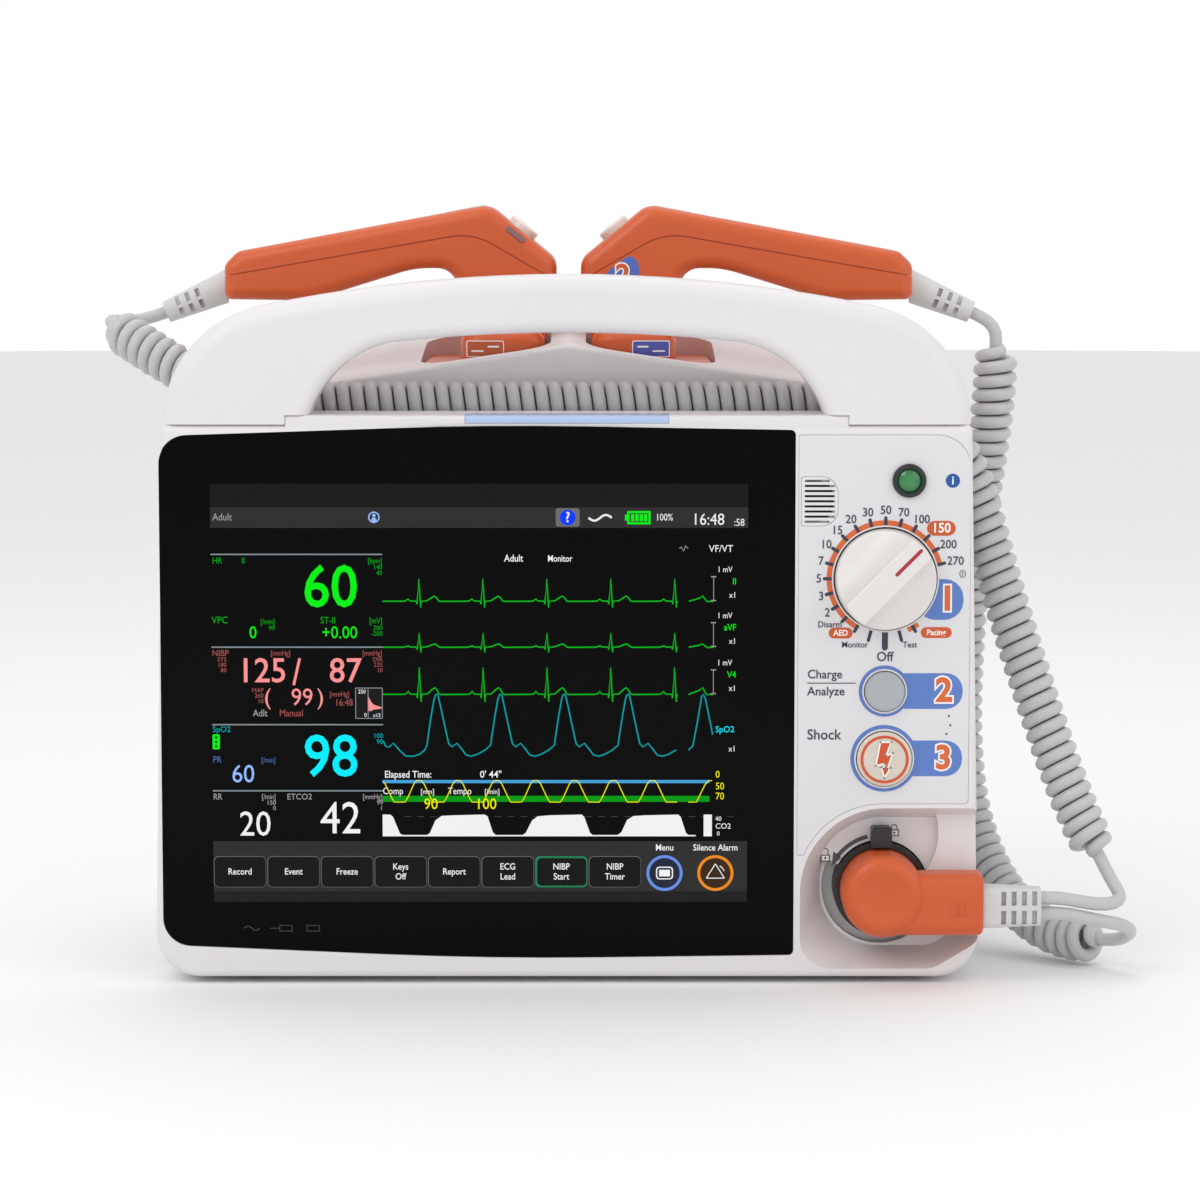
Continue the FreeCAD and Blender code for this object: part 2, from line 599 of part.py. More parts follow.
def make_overlay():
    """Printed label sheet round the controls."""
    sheet = prism(overlay_outline(0), "y", FRONT_Y, FRONT_Y + OVERLAY_THICKNESS)
    for x, z, radius in ((CONTROL_X, KNOB_Z, SHAFT_RADIUS + 1.0),
                         (CONTROL_X, CHARGE_Z, CHARGE_RADIUS + FIT),
                         (CONTROL_X, SHOCK_Z, SHOCK_RADIUS + FIT),
                         (LAMP_X, LAMP_Z, LAMP_RADIUS - 1.0)):
        sheet = sheet.cut(rod_y(x, z, radius, FRONT_Y - 1.0, FRONT_Y + 2.0))
    sheet = sheet.cut(prism(grille_outline(SEAT), "y", FRONT_Y - 1.0, FRONT_Y + 2.0))
    add("control_overlay", sheet)


def make_energy_knob():
    """Rotary selector: two finger hollows leave a grip bar set at 45 degrees."""
    back = FRONT_Y - KNOB_CLEARANCE
    knob = Part.makeCone(KNOB_RADIUS, KNOB_RADIUS - KNOB_TAPER, back + HALF_DEPTH,
                         V(CONTROL_X, back, KNOB_Z), V(0, -1, 0))
    for side in (-1, 1):
        hollow_z = KNOB_Z + side * KNOB_HOLLOW_SIDE
        hollow_y = -HALF_DEPTH - KNOB_HOLLOW_RAISE
        knob = knob.cut(rod(V(CONTROL_X - 2 * KNOB_RADIUS, hollow_y, hollow_z),
                            V(CONTROL_X + 2 * KNOB_RADIUS, hollow_y, hollow_z), KNOB_HOLLOW_RADIUS))
    knob = knob.makeFillet(1.2, [edge for edge in knob.Edges if edge.BoundBox.YMax < back - 0.5])
    knob.rotate(V(CONTROL_X, 0, KNOB_Z), V(0, -1, 0), 45.0)
    add("energy_knob", knob)
    shaft_end = SELECTOR_Y + SELECTOR_DEPTH
    add("selector_shaft", rod_y(CONTROL_X, KNOB_Z, SHAFT_RADIUS, back, shaft_end))
    body = rod_y(CONTROL_X, KNOB_Z, SELECTOR_RADIUS, SELECTOR_Y, shaft_end)
    add("selector_switch", body.cut(rod_y(CONTROL_X, KNOB_Z, SHAFT_RADIUS + SHAFT_PLAY,
                                          SELECTOR_Y - 1.0, shaft_end + 1.0)))


def make_push_button(name, z, radius, travel):
    """Round push button and its collar on the label sheet; returns the switch behind it."""
    top = FRONT_Y - BUTTON_PROUD
    inner = FRONT_Y + FACE + BUTTON_GAP
    flange_end = inner + BUTTON_FLANGE
    stem_end = flange_end + STEM_LENGTH
    cap = rod_y(CONTROL_X, z, radius, top, flange_end)
    cap = cap.makeFillet(1.2, edges_at(cap, "y", top))
    flange = rod_y(CONTROL_X, z, radius + 1.5, inner, flange_end)
    stem = rod_y(CONTROL_X, z, SHAFT_RADIUS, flange_end, stem_end)
    add(name + "_button", fuse(cap, flange, stem))
    add(name + "_collar", ring_y(CONTROL_X, z, radius + COLLAR_GAP + COLLAR_WIDTH,
                                 radius + COLLAR_GAP, FRONT_Y - COLLAR_HEIGHT, FRONT_Y))
    switch_y = stem_end + travel + FIT
    return block((CONTROL_X - 7.0, CONTROL_X + 7.0), (switch_y, switch_y + 8.0), (z - 7.0, z + 7.0))


def make_ready_lamp():
    """Green lamp: black bezel with a domed lens."""
    bezel = ring_y(LAMP_X, LAMP_Z, LAMP_RADIUS, LENS_RADIUS + SEAT, FRONT_Y - 1.8, FRONT_Y)
    bezel = bezel.makeFillet(0.8, [edge for edge in edges_at(bezel, "y", FRONT_Y - 1.8)
                                   if edge.BoundBox.XLength > 2 * LAMP_RADIUS - 0.1])
    neck = ring_y(LAMP_X, LAMP_Z, LAMP_RADIUS - 1.0 - SEAT, LENS_RADIUS + SEAT,
                  FRONT_Y, FRONT_Y + FACE)
    add("lamp_bezel", fuse(bezel, neck))
    lens = rod_y(LAMP_X, LAMP_Z, LENS_RADIUS, FRONT_Y - 1.0, FRONT_Y + FACE)
    dome_radius = 8.0
    sink = math.sqrt(dome_radius ** 2 - LENS_RADIUS ** 2)
    dome = Part.makeSphere(dome_radius, V(LAMP_X, FRONT_Y - 1.0 + sink, LAMP_Z))
    dome = dome.common(rod_y(LAMP_X, LAMP_Z, LENS_RADIUS, FRONT_Y - 5.0, FRONT_Y - 1.0))
    add("lamp_lens", fuse(lens, dome))


def make_speaker():
    """Loudspeaker frame and magnet behind its grille."""
    x = (GRILLE_LEFT + GRILLE_RIGHT) / 2 - 1.0
    z = (GRILLE_BOTTOM + GRILLE_TOP) / 2
    y = FRONT_Y + FACE
    cone = Part.makeCone(SPEAKER_RADIUS, 9.0, 8.0, V(x, y, z), V(0, 1, 0))
    magnet = rod_y(x, z, 10.0, y + 8.0, y + 14.0)
    add("speaker", fuse(cone, magnet))


# ---- paddle connector
def make_connector():
    """Socket in the pocket, lock ring with its lever, and the plug with its arm."""
    floor_y = FRONT_Y + SCOOP_DEPTH
    pocket_y = floor_y + POCKET_DEPTH
    socket = rod_y(SOCKET_X, SOCKET_Z, SOCKET_RADIUS, pocket_y - 3.0, pocket_y + SOCKET_LENGTH)
    pins = []
    for dx, dz in ((-6.0, -4.0), (6.0, -4.0), (-6.0, 5.0), (6.0, 5.0)):
        socket = socket.cut(rod_y(SOCKET_X + dx, SOCKET_Z + dz, 2.0, pocket_y - 4.0, pocket_y + 12.0))
        pins.append(rod_y(SOCKET_X + dx, SOCKET_Z + dz, 1.7, pocket_y - 3.5, pocket_y + 9.0))
    add("paddle_socket", socket)
    barrel_back = pocket_y - 3.2
    ring_back = pocket_y - FIT
    ring_front = ring_back - LOCK_LENGTH
    ring = ring_y(SOCKET_X, SOCKET_Z, LOCK_RADIUS, PLUG_RADIUS + FIT, ring_front, ring_back)
    lever_back = FRONT_Y + SHELF_DEPTH - 2 * FIT
    lever = block((SOCKET_X - LEVER_WIDTH / 2, SOCKET_X + LEVER_WIDTH / 2),
                  (lever_back - LEVER_DEPTH, lever_back),
                  (SOCKET_Z + (LOCK_RADIUS + PLUG_RADIUS) / 2, SOCKET_Z + LEVER_REACH))
    lever = lever.makeFillet(1.2, [edge for edge in lever.Edges
                                   if edge.BoundBox.ZMin > SOCKET_Z + LEVER_REACH - 0.1])
    lever = lever.cut(rod_y(SOCKET_X, SOCKET_Z, PLUG_RADIUS + 1.0, FRONT_Y - 1.0, ring_back))
    add("lock_ring", fuse(ring, lever))
    front = FRONT_Y - PLUG_PROUD
    barrel = rod_y(SOCKET_X, SOCKET_Z, PLUG_RADIUS, front, barrel_back)
    barrel = barrel.makeFillet(PLUG_RIM, edges_at(barrel, "y", front))
    dish_y = front - math.sqrt(DISH_SPHERE ** 2 - DISH_RADIUS ** 2)
    dish = Part.makeSphere(DISH_SPHERE, V(SOCKET_X, dish_y, SOCKET_Z))
    arm_y = (ring_front - 1.0 - ARM_DEPTH, ring_front - 1.0)
    arm_z = SOCKET_Z - ARM_DROP
    arm = block((SOCKET_X, ARM_RIGHT), arm_y, (arm_z - ARM_HEIGHT / 2, arm_z + ARM_HEIGHT / 2))
    arm = arm.makeFillet(5.0, [edge for edge in arm.Edges
                               if edge.BoundBox.XLength > 10.0])
    arm = arm.makeFillet(2.0, edges_at(arm, "x", ARM_RIGHT))
    body = fuse(barrel, arm)
    body = body.cut(dish)
    add("plug_body", fuse(body, *pins))
    relief_y = sum(arm_y) / 2
    relief = tapered_bar(V(ARM_RIGHT, relief_y, RELIEF_Z),
                         V(ARM_RIGHT + RELIEF_LENGTH, relief_y, RELIEF_Z),
                         (RELIEF_HEIGHT, RELIEF_DEPTH), (RELIEF_HEIGHT - 2.0, RELIEF_DEPTH - 2.0))
    for column in range(4):
        x = ARM_RIGHT + 7.0 + 4.0 * column
        for row in (-1, 1):
            z = RELIEF_Z + row * 3.7
            for y in ((relief_y - 9.0, relief_y - 3.0), (relief_y + 3.0, relief_y + 9.0)):
                relief = relief.cut(block((x, x + 1.9), y, (z - 2.7, z + 2.7)))
    add("plug_strain_relief", relief)


def tapered_bar(start, end, first, last):
    """Rounded bar along X from one (height, depth) section to another."""
    wires = []
    for point, (height, depth) in ((start, first), (end, last)):
        corners = [(point.y - depth / 2, point.z - height / 2, 3.0),
                   (point.y + depth / 2, point.z - height / 2, 3.0),
                   (point.y + depth / 2, point.z + height / 2, 3.0),
                   (point.y - depth / 2, point.z + height / 2, 3.0)]
        wires.append(Part.Wire(Part.__sortEdges__(rounded_edges(corners, "x", point.x))))
    return Part.makeLoft(wires, True, True)


# ---- paddles, modelled on the right and mirrored to the left
GRIP_OUTLINE = [(5.0, 262.0, 3.0), (5.0, 279.0, 7.0), (32.0, 301.0, 9.0), (133.0, 282.3, 6.0),
                (GRIP_END, 277.0, 5.2), (GRIP_END, 263.0, 3.0),
                (104.0, 262.5, 30.0), (62.0, 275.5, 40.0), (46.0, 275.5, 8.0), (44.0, 262.0, 2.0)]
SEAM = [(GRIP_END + 5.0, 271.8, 0.0), (38.4, 290.0, 25.0), (0.0, 267.8, 0.0),
        (0.0, 320.0, 0.0), (GRIP_END + 5.0, 320.0, 0.0)]
NECK = ((9.0, 43.0), (BASE_TOP_Z - 4.0, 266.0))
BUTTON_CENTRE = V(19.2, PADDLE_Y, 290.5)
BUTTON_NORMAL = V(-0.632, 0.0, 0.775)
BUTTON_RADIUS = 6.5
BUTTON_REACH = (3.2, -4.5)      # its face and its inner end, along the normal
BORE_REACH = (5.0, -7.0)


def make_paddle():
    """Pieces of the right paddle, by name."""
    grip = prism(GRIP_OUTLINE, "y", PADDLE_Y - GRIP_WIDTH / 2, PADDLE_Y + GRIP_WIDTH / 2)
    for y in (PADDLE_Y - GRIP_WIDTH / 2, PADDLE_Y + GRIP_WIDTH / 2):
        grip = grip.makeFillet(GRIP_EDGE, edges_at(grip, "y", y))
    over = prism(SEAM, "y", PADDLE_Y - GRIP_WIDTH, PADDLE_Y + GRIP_WIDTH)
    upper = grip.common(over)
    under = over.copy()
    under.translate(V(0, 0, -SHELL_GROOVE))
    core = block((GRIP_OUTLINE[0][0] + GROOVE_DEPTH, GRIP_END - GROOVE_DEPTH),
                 (PADDLE_Y - GRIP_WIDTH / 2 + GROOVE_DEPTH, PADDLE_Y + GRIP_WIDTH / 2 - GROOVE_DEPTH),
                 (BASE_TOP_Z, GRIP_TOP_Z))
    lower = grip.cut(over).cut(grip.common(under).cut(core))
    neck = block(NECK[0], (PADDLE_Y - GRIP_WIDTH / 2 + 2.0, PADDLE_Y + GRIP_WIDTH / 2 - 2.0), NECK[1])
    base_y = (PADDLE_Y - BASE_LENGTH / 2, PADDLE_Y + BASE_LENGTH / 2)
    plate = prism(base_corners(0, base_y), "z", BASE_BOTTOM_Z, BASE_PLATE_Z)
    plate = plate.makeFillet(2.0, edges_at(plate, "z", BASE_PLATE_Z))
    block_y = (base_y[0] + BASE_BLOCK_INSET, base_y[1] - BASE_BLOCK_INSET)
    base = prism(rectangle(BASE_BLOCK, block_y, BASE_BLOCK_CORNER), "z",
                 BASE_BOTTOM_Z + ELECTRODE_THICKNESS, BASE_TOP_Z)
    base = base.makeFillet(5.0, edges_at(base, "z", BASE_TOP_Z))
    recess = prism(base_corners(-ELECTRODE_INSET, base_y), "z", BASE_BOTTOM_Z - 1.0,
                   BASE_BOTTOM_Z + ELECTRODE_THICKNESS)
    lower = fuse(lower, neck, base, plate).cut(recess)
    electrode = prism(base_corners(-ELECTRODE_INSET - SEAT, base_y), "z",
                      BASE_BOTTOM_Z - 0.5, BASE_BOTTOM_Z + ELECTRODE_THICKNESS)
    electrode = electrode.makeFillet(0.4, edges_at(electrode, "z", BASE_BOTTOM_Z - 0.5))
    bore = rod(BUTTON_CENTRE + BUTTON_NORMAL * BORE_REACH[0],
               BUTTON_CENTRE + BUTTON_NORMAL * BORE_REACH[1], BUTTON_RADIUS + FIT)
    upper = upper.cut(bore)
    top = BUTTON_CENTRE + BUTTON_NORMAL * BUTTON_REACH[0]
    button = rod(top, BUTTON_CENTRE + BUTTON_NORMAL * BUTTON_REACH[1], BUTTON_RADIUS)
    button = button.makeFillet(1.2, [edge for edge in button.Edges
                                     if (edge.CenterOfMass - top).Length < 0.1])
    along = (RELIEF_END - RELIEF_START).normalize()
    start = RELIEF_START - along * RELIEF_ROOT
    cone = Part.makeCone(PADDLE_RELIEF_RADIUS + 1.2, PADDLE_RELIEF_RADIUS - 1.2,
                         (RELIEF_END - start).Length, start, along)
    cone = cone.cut(block((0.0, GRIP_END), (PADDLE_Y - 20.0, PADDLE_Y + 20.0), (240.0, 300.0)))
    across = V(0, 1, 0)
    up = across.cross(along) * -1
    for column in range(3):
        centre = RELIEF_START + along * (12.0 + 4.4 * column)
        for side in (-1, 1):
            for row in (-1, 1):
                spot = centre + across * (side * 5.5) + up * (row * 2.4)
                slot = Part.makeBox(1.8, 6.0, 3.4, V(-0.9, -3.0, -1.7))
                turn = FreeCAD.Rotation(V(1, 0, 0), along)
                slot.Placement = FreeCAD.Placement(spot, turn)
                cone = cone.cut(slot)
    return {"upper_shell": upper, "lower_shell": lower, "electrode": electrode,
            "button": button, "strain_relief": cone}


def base_corners(grow, y):
    """Rounded outline of a paddle base, grown or shrunk."""
    radius = BASE_CORNER + grow
    return [(BASE_INNER - grow, y[0] - grow, radius), (BASE_OUTER + grow, y[0] - grow, radius),
            (BASE_OUTER + grow, y[1] + grow, radius), (BASE_INNER - grow, y[1] + grow, radius)]


def make_paddles():
    """Both paddles, the left one as the mirror image."""
    for piece, shape in make_paddle().items():
        add("right_paddle_" + piece, shape)
        add("left_paddle_" + piece, mirrored(shape))


def make_paddle_tray():
    """Gabled tray that climbs to the back, with a well for each paddle base; hollow underneath."""
    def gable(inset, rise):
        side = TRAY_HALF_WIDTH - inset
        edge = TRAY_EDGE_Z - inset + rise
        return [(-side, DECK_Z, 0.0), (-side, edge, 4.0), (0.0, TRAY_PEAK_Z - inset + rise, 10.0),
                (side, edge, 4.0), (side, DECK_Z, 0.0)]

    def ridge(inset):
        return tapered(gable(inset, 0.0), TRAY_FRONT_Y + inset,
                       gable(inset, TRAY_RISE), TRAY_BACK_Y - inset)

    body = ridge(0.0)
    body = body.makeFillet(2.5, edges_at(body, "y", TRAY_FRONT_Y,
                                         lambda edge: edge.BoundBox.ZMin > TRAY_EDGE_Z - 5.0))
    body = body.cut(ridge(WALL))
    base_y = (PADDLE_Y - BASE_LENGTH / 2, PADDLE_Y + BASE_LENGTH / 2)
    floor_z = BASE_BOTTOM_Z - 0.5 - FIT
    well_top = TRAY_PEAK_Z + TRAY_RISE + 1.0
    inside = ridge(0.5)
    cups = []
    wells = []
    for hand in (lambda shape: shape, mirrored):
        cup = prism(base_corners(WELL_PLAY + WALL, base_y), "z", floor_z - WALL, well_top)
        cups.append(hand(cup).common(inside))
        wells.append(hand(prism(base_corners(WELL_PLAY, base_y), "z", floor_z, well_top)))
    body = fuse(body, *cups)
    return body.cut(wells[0]).cut(wells[1])


# ---- cords: straight runs joined by tangent arcs
LEFT_LEAD = [(-163.9, 10.0, 257.3), (-173.0, 9.6, 254.2), (-182.0, 5.5, 253.8), (-185.4, -3.7, 254.6),
             (-181.0, -10.5, 251.8)]
LEFT_COIL = [(-181.0, -10.5, 251.8), (-175.5, -19.0, 248.3), (-160.0, -29.5, 239.5), (-142.0, -37.5, 230.0),
             (-122.0, -42.0, 224.2), (-102.0, -43.0, 223.2), (104.0, -43.0, 223.2), (126.0, -42.6, 222.6),
             (145.0, -42.0, 214.5), (157.0, -42.0, 200.0), (163.0, -43.5, 181.0), (169.5, -46.0, 157.0),
             (177.0, -50.0, 132.0), (185.0, -54.5, 107.0), (193.0, -59.0, 83.0), (201.0, -63.8, 62.0),
             (208.0, -67.8, 48.0)]
UPPER_LEAD = [(208.0, -67.8, 48.0), (213.0, -70.6, 38.0), (216.5, -75.0, 32.4), (214.0, -81.0, 30.6),
              (206.5, -85.5, 30.8), (198.0, -87.9, 32.6), (190.5, -89.3, 34.2), (183.0, -89.3, 34.2)]
RIGHT_LEAD = [(163.9, 10.0, 257.3), (169.8, 9.6, 254.7), (173.7, 7.9, 250.0), (173.6, 8.0, 244.0)]
RIGHT_COIL = [(173.6, 8.0, 244.0), (173.4, 8.2, 226.0), (171.2, 9.4, 206.0), (168.0, 10.6, 184.0),
              (165.0, 11.6, 160.0), (162.6, 12.2, 134.0), (161.2, 12.0, 108.0), (161.0, 10.2, 83.0),
              (162.8, 5.0, 59.0), (168.4, -6.0, 38.0), (177.5, -20.0, 21.8), (189.0, -34.0, 12.6),
              (200.5, -46.0, 9.6), (210.0, -55.5, 11.2)]
LOWER_LEAD = [(210.0, -55.5, 11.2), (217.5, -63.0, 12.5), (221.5, -72.0, 17.2), (218.0, -79.5, 21.4),
              (209.5, -84.5, 23.8), (200.0, -87.4, 26.2), (191.5, -89.3, 28.2), (183.0, -89.3, 28.2)]


def cord_path(points):
    """Wire of straight runs and tangent arcs through the points, with its tightest radius."""
    corners = [V(*point) for point in points]
    edges = []
    start = corners[0]
    tightest = 1e9
    for index in range(1, len(corners) - 1):
        corner = corners[index]
        before = corners[index - 1] - corner
        after = corners[index + 1] - corner
        reach = 0.45 * min(before.Length, after.Length)
        half = before.getAngle(after) / 2
        radius = reach * math.tan(half)
        tightest = min(tightest, radius)
        entry = corner + before.normalize() * reach
        leave = corner + after.normalize() * reach
        middle = corner + (before + after).normalize() * (radius / math.sin(half) - radius)
        edges.append(Part.LineSegment(start, entry).toShape())
        edges.append(Part.Arc(entry, middle, leave).toShape())
        start = leave
    edges.append(Part.LineSegment(start, corners[-1]).toShape())
    return Part.Wire(edges), tightest


def make_cord(name, points, diameter):
    """Plain tube along a route; prints its length, radius and volume so that they can be read."""
    path, tightest = cord_path(points)
    start = V(*points[0])
    along = V(*points[1]) - start
    section = Part.Wire(Part.makeCircle(diameter / 2, start, along))
    tube = path.makePipeShell([section], True, True)
    expected = math.pi * diameter ** 2 / 4 * path.Length
    print("%s: length %.1f, tightest radius %.1f, volume ratio %.3f" % (
        name, path.Length, tightest, tube.Volume / expected))
    add(name, tube)


def make_cords():
    """Thin leads and fat tubes of the curly stretches."""
    make_cord("left_paddle_lead", LEFT_LEAD, WIRE)
    make_cord("left_curly_cord", LEFT_COIL, COIL)
    make_cord("upper_plug_lead", UPPER_LEAD, WIRE)
    make_cord("right_paddle_lead", RIGHT_LEAD, WIRE)
    make_cord("right_curly_cord", RIGHT_COIL, COIL)
    make_cord("lower_plug_lead", LOWER_LEAD, WIRE)


# ---- rear, side and inside
def make_recorder():
    """Strip-chart recorder in the left side: bay, paper roll, hinged door and platen roller."""
    outer = -REAR_HALF_WIDTH
    bay = block((outer, outer + RECORDER_BAY_DEPTH), RECORDER_Y, RECORDER_Z)
    hollow = block((outer - 1.0, outer + RECORDER_BAY_DEPTH - 2.0),
                   (RECORDER_Y[0] + 2.0, RECORDER_Y[1] - 2.0), (RECORDER_Z[0] + 2.0, RECORDER_Z[1] - 2.0))
    frame = bay.cut(hollow)
    roll_x = outer + RECORDER_BAY_DEPTH - 4.0 - ROLL_RADIUS
    roll_z = RECORDER_Z[0] + 3.0 + ROLL_RADIUS
    middle = sum(RECORDER_Y) / 2
    head_z = RECORDER_Z[1] - 14.0
    head = block((outer + 16.0, outer + RECORDER_BAY_DEPTH - 2.0),
                 (RECORDER_Y[0] + 2.0, RECORDER_Y[1] - 2.0), (head_z, head_z + 4.0))
    add("recorder_frame", fuse(frame, head))
    add("paper_roll", ring_y(roll_x, roll_z, ROLL_RADIUS, 6.0,
                             middle - ROLL_WIDTH / 2, middle + ROLL_WIDTH / 2))
    door = block((outer - DOOR_THICKNESS, outer - FIT), (RECORDER_Y[0] - DOOR_LAP, RECORDER_Y[1] + DOOR_LAP),
                 (RECORDER_Z[0] - DOOR_LAP, RECORDER_Z[1] + DOOR_LAP))
    door = door.makeFillet(1.5, edges_at(door, "x", outer - DOOR_THICKNESS))
    slot_z = RECORDER_Z[1] - 9.0
    door = door.cut(block((outer - 5.0, outer + 1.0), (middle - 27.0, middle + 27.0), (slot_z, slot_z + 2.0)))
    ears = []
    platen_x = outer + 6.0
    platen_z = head_z - 8.0
    for side in (-1, 1):
        y = middle + side * (ROLL_WIDTH / 2 + 4.0)
        ears.append(block((outer - 1.0, platen_x + 3.0), (y - 1.5, y + 1.5),
                          (platen_z - 4.0, platen_z + 4.0)))
    hinge_x = outer - FIT - KNUCKLE_RADIUS
    hinge_z = RECORDER_Z[0] - DOOR_LAP - KNUCKLE_DROP
    for y in (RECORDER_Y[0] + DOOR_LAP, RECORDER_Y[1] - DOOR_LAP - KNUCKLE_LENGTH):
        ears.append(rod_y(hinge_x, hinge_z, KNUCKLE_RADIUS, y, y + KNUCKLE_LENGTH))
    add("recorder_door", fuse(door, *ears))
    add("platen_roller", rod_y(platen_x, platen_z, PLATEN_RADIUS, middle - ROLL_WIDTH / 2 - 2.3,
                               middle + ROLL_WIDTH / 2 + 2.3))


def make_side_panel():
    """Patient connectors on the left side, in front of the recorder."""
    outer = -REAR_HALF_WIDTH
    plate = block((outer - 2.0, outer), PANEL_Y, PANEL_Z)
    plate = plate.makeFillet(1.0, edges_at(plate, "x", outer - 2.0))
    add("side_panel", plate)
    middle = sum(PANEL_Y) / 2
    sockets = []
    for z in SENSOR_SOCKET_Z:
        body = socket_body(middle, z, 9.5, 6.5)
        core = rod(V(outer - 2.0, middle, z), V(outer - SOCKET_PROUD - 0.5, middle, z), 4.0)
        sockets.append(fuse(body, core, socket_base(middle, z, 9.5)))
    add("sensor_sockets", group(*sockets))
    add("nibp_port", fuse(socket_body(middle, NIBP_Z, 6.0, 2.0), socket_base(middle, NIBP_Z, 6.0)
                          .cut(rod(V(outer - 5.0, middle, NIBP_Z), V(outer, middle, NIBP_Z), 2.0))))


def socket_body(y, z, radius, bore):
    """Round collar that stands out of the side panel."""
    start = V(-REAR_HALF_WIDTH - 2.0, y, z)
    end = start + V(-SOCKET_PROUD, 0, 0)
    body = rod(start, end, radius)
    body = body.makeFillet(1.0, edges_at(body, "x", end.x))
    return body.cut(rod(start, end + V(-1.0, 0, 0), bore))


def socket_base(y, z, radius):
    """Disc that closes a socket at the panel."""
    start = V(-REAR_HALF_WIDTH - 2.0, y, z)
    return rod(start, start + V(-0.8, 0, 0), radius)


def screw(x, z, length):
    """Housing screw, its head level with the rear wall."""
    neck = HALF_DEPTH - SCREW_SUNK
    return fuse(rod_y(x, z, SCREW_HEAD, neck, HALF_DEPTH),
                rod_y(x, z, SCREW_RADIUS, HALF_DEPTH - length, neck))


def make_rear():
    """Battery pack, mains inlet, feet and housing screws."""
    back = HALF_DEPTH
    pack = block(BATTERY_X, (back - BATTERY_LENGTH, back), BATTERY_Z)
    pack = pack.makeFillet(2.0, [edge for edge in pack.Edges if edge.BoundBox.YLength > 20.0])
    pack = pack.cut(block((BATTERY_X[0] + 30.0, BATTERY_X[1] - 30.0), (back - 10.0, back + 1.0),
                          (BATTERY_Z[0] + 24.0, BATTERY_Z[1] - 20.0)))
    add("battery_pack", pack)
    inlet = block((INLET_X - 14.0 + SEAT, INLET_X + 14.0 - SEAT), (back - 22.0, back - 0.5),
                  (INLET_Z - 12.0 + SEAT, INLET_Z + 12.0 - SEAT))
    inlet = inlet.cut(prism([(INLET_X - 12.2, INLET_Z - 8.2, 1.0), (INLET_X + 12.2, INLET_Z - 8.2, 1.0),
                             (INLET_X + 12.2, INLET_Z + 3.0, 1.0), (INLET_X + 7.0, INLET_Z + 8.2, 1.0),
                             (INLET_X - 7.0, INLET_Z + 8.2, 1.0), (INLET_X - 12.2, INLET_Z + 3.0, 1.0)],
                            "y", back - 18.0, back + 1.0))
    for dx, dz in ((-7.0, -2.0), (7.0, -2.0), (0.0, 2.0)):
        inlet = inlet.fuse(block((INLET_X + dx - 1.0, INLET_X + dx + 1.0), (back - 20.0, back - 4.0),
                                 (INLET_Z + dz - 2.0, INLET_Z + dz + 2.0)))
    add("mains_inlet", inlet.removeSplitter())
    feet = []
    for x in (-FOOT_X, FOOT_X):
        for y in (FOOT_FRONT_Y, FOOT_BACK_Y):
            foot = Part.makeCylinder(FOOT_RADIUS, FOOT_HEIGHT, V(x, y, 0))
            feet.append(foot.makeChamfer(0.8, edges_at(foot, "z", 0.0)))
    add("rubber_feet", group(*feet))
    screws = []
    for x in (-SCREW_X, SCREW_X):
        for z in SCREW_Z:
            screws.append(screw(x, z, 14.0))
    add("housing_screws", group(*screws))


def make_inside():
    """What the housing holds: chassis, boards and the shock circuit."""
    left = -REAR_HALF_WIDTH + WALL + 3.0
    floor_z = FOOT_HEIGHT + WALL + 0.5
    sheet = 1.5
    bottom = block((left + 14.0, 14.0), (SPLIT_Y + 2.0, HALF_DEPTH - 26.0), (floor_z, floor_z + sheet))
    upright = block((left + 14.0, 14.0), (SPLIT_Y + 2.0, SPLIT_Y + 2.0 + sheet), (floor_z, 200.0))
    add("chassis", fuse(bottom, upright))
    board_y = SPLIT_Y + 6.0
    add("main_board", block((left + 16.0, 10.0), (board_y, board_y + 1.6), (60.0, 196.0)))
    deck = floor_z + sheet
    add("power_supply", block((-134.0, -64.0), (10.0, 76.0), (deck, deck + 34.0)))
    add("high_voltage_board", block((-60.0, 10.0), (-44.0, 70.0), (deck + 4.0, deck + 5.6)))
    add("energy_capacitor", rod(V(-56.0, -10.0, deck + 38.0), V(6.0, -10.0, deck + 38.0), 26.0))
    add("waveform_inductor", ring_z(V(-26.0, 42.0, deck + 6.0), 24.0, 9.0, 22.0))
    add("shock_relay", block((-124.0, -84.0), (-44.0, -4.0), (deck, deck + 28.0)))


def ring_z(base, outer, inner, height):
    """Tube along Z."""
    return Part.makeCylinder(outer, height, base).cut(Part.makeCylinder(inner, height, base))


def build():
    """Make every piece."""
    add("front_housing", make_front_housing())
    add("rear_housing", make_rear_housing())
    add("top_deck", make_top_deck())
    add("carry_handle", make_carry_handle())
    add("paddle_tray", make_paddle_tray())
    add("alarm_lamp", make_alarm_lamp())
    add("speaker_grille", make_speaker_grille())
    make_screen()
    make_overlay()
    make_energy_knob()
    add("button_switches", group(make_push_button("charge", CHARGE_Z, CHARGE_RADIUS, CHARGE_TRAVEL),
                                 make_push_button("shock", SHOCK_Z, SHOCK_RADIUS, SHOCK_TRAVEL)))
    make_ready_lamp()
    make_speaker()
    make_connector()
    make_paddles()
    make_cords()
    make_recorder()
    make_side_panel()
    make_rear()
    make_inside()


build()
os.makedirs("parts", exist_ok=True)
for name, shape in nodes.items():
    if not shape.isValid():
        print("not valid:", name)
    shape.exportStep("parts/" + name + ".step")
print(len(nodes), "nodes")
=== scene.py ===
import json
import math

import bmesh
import bpy
from bpy.props import FloatProperty, FloatVectorProperty, IntProperty, PointerProperty
from mathutils import Matrix, Vector


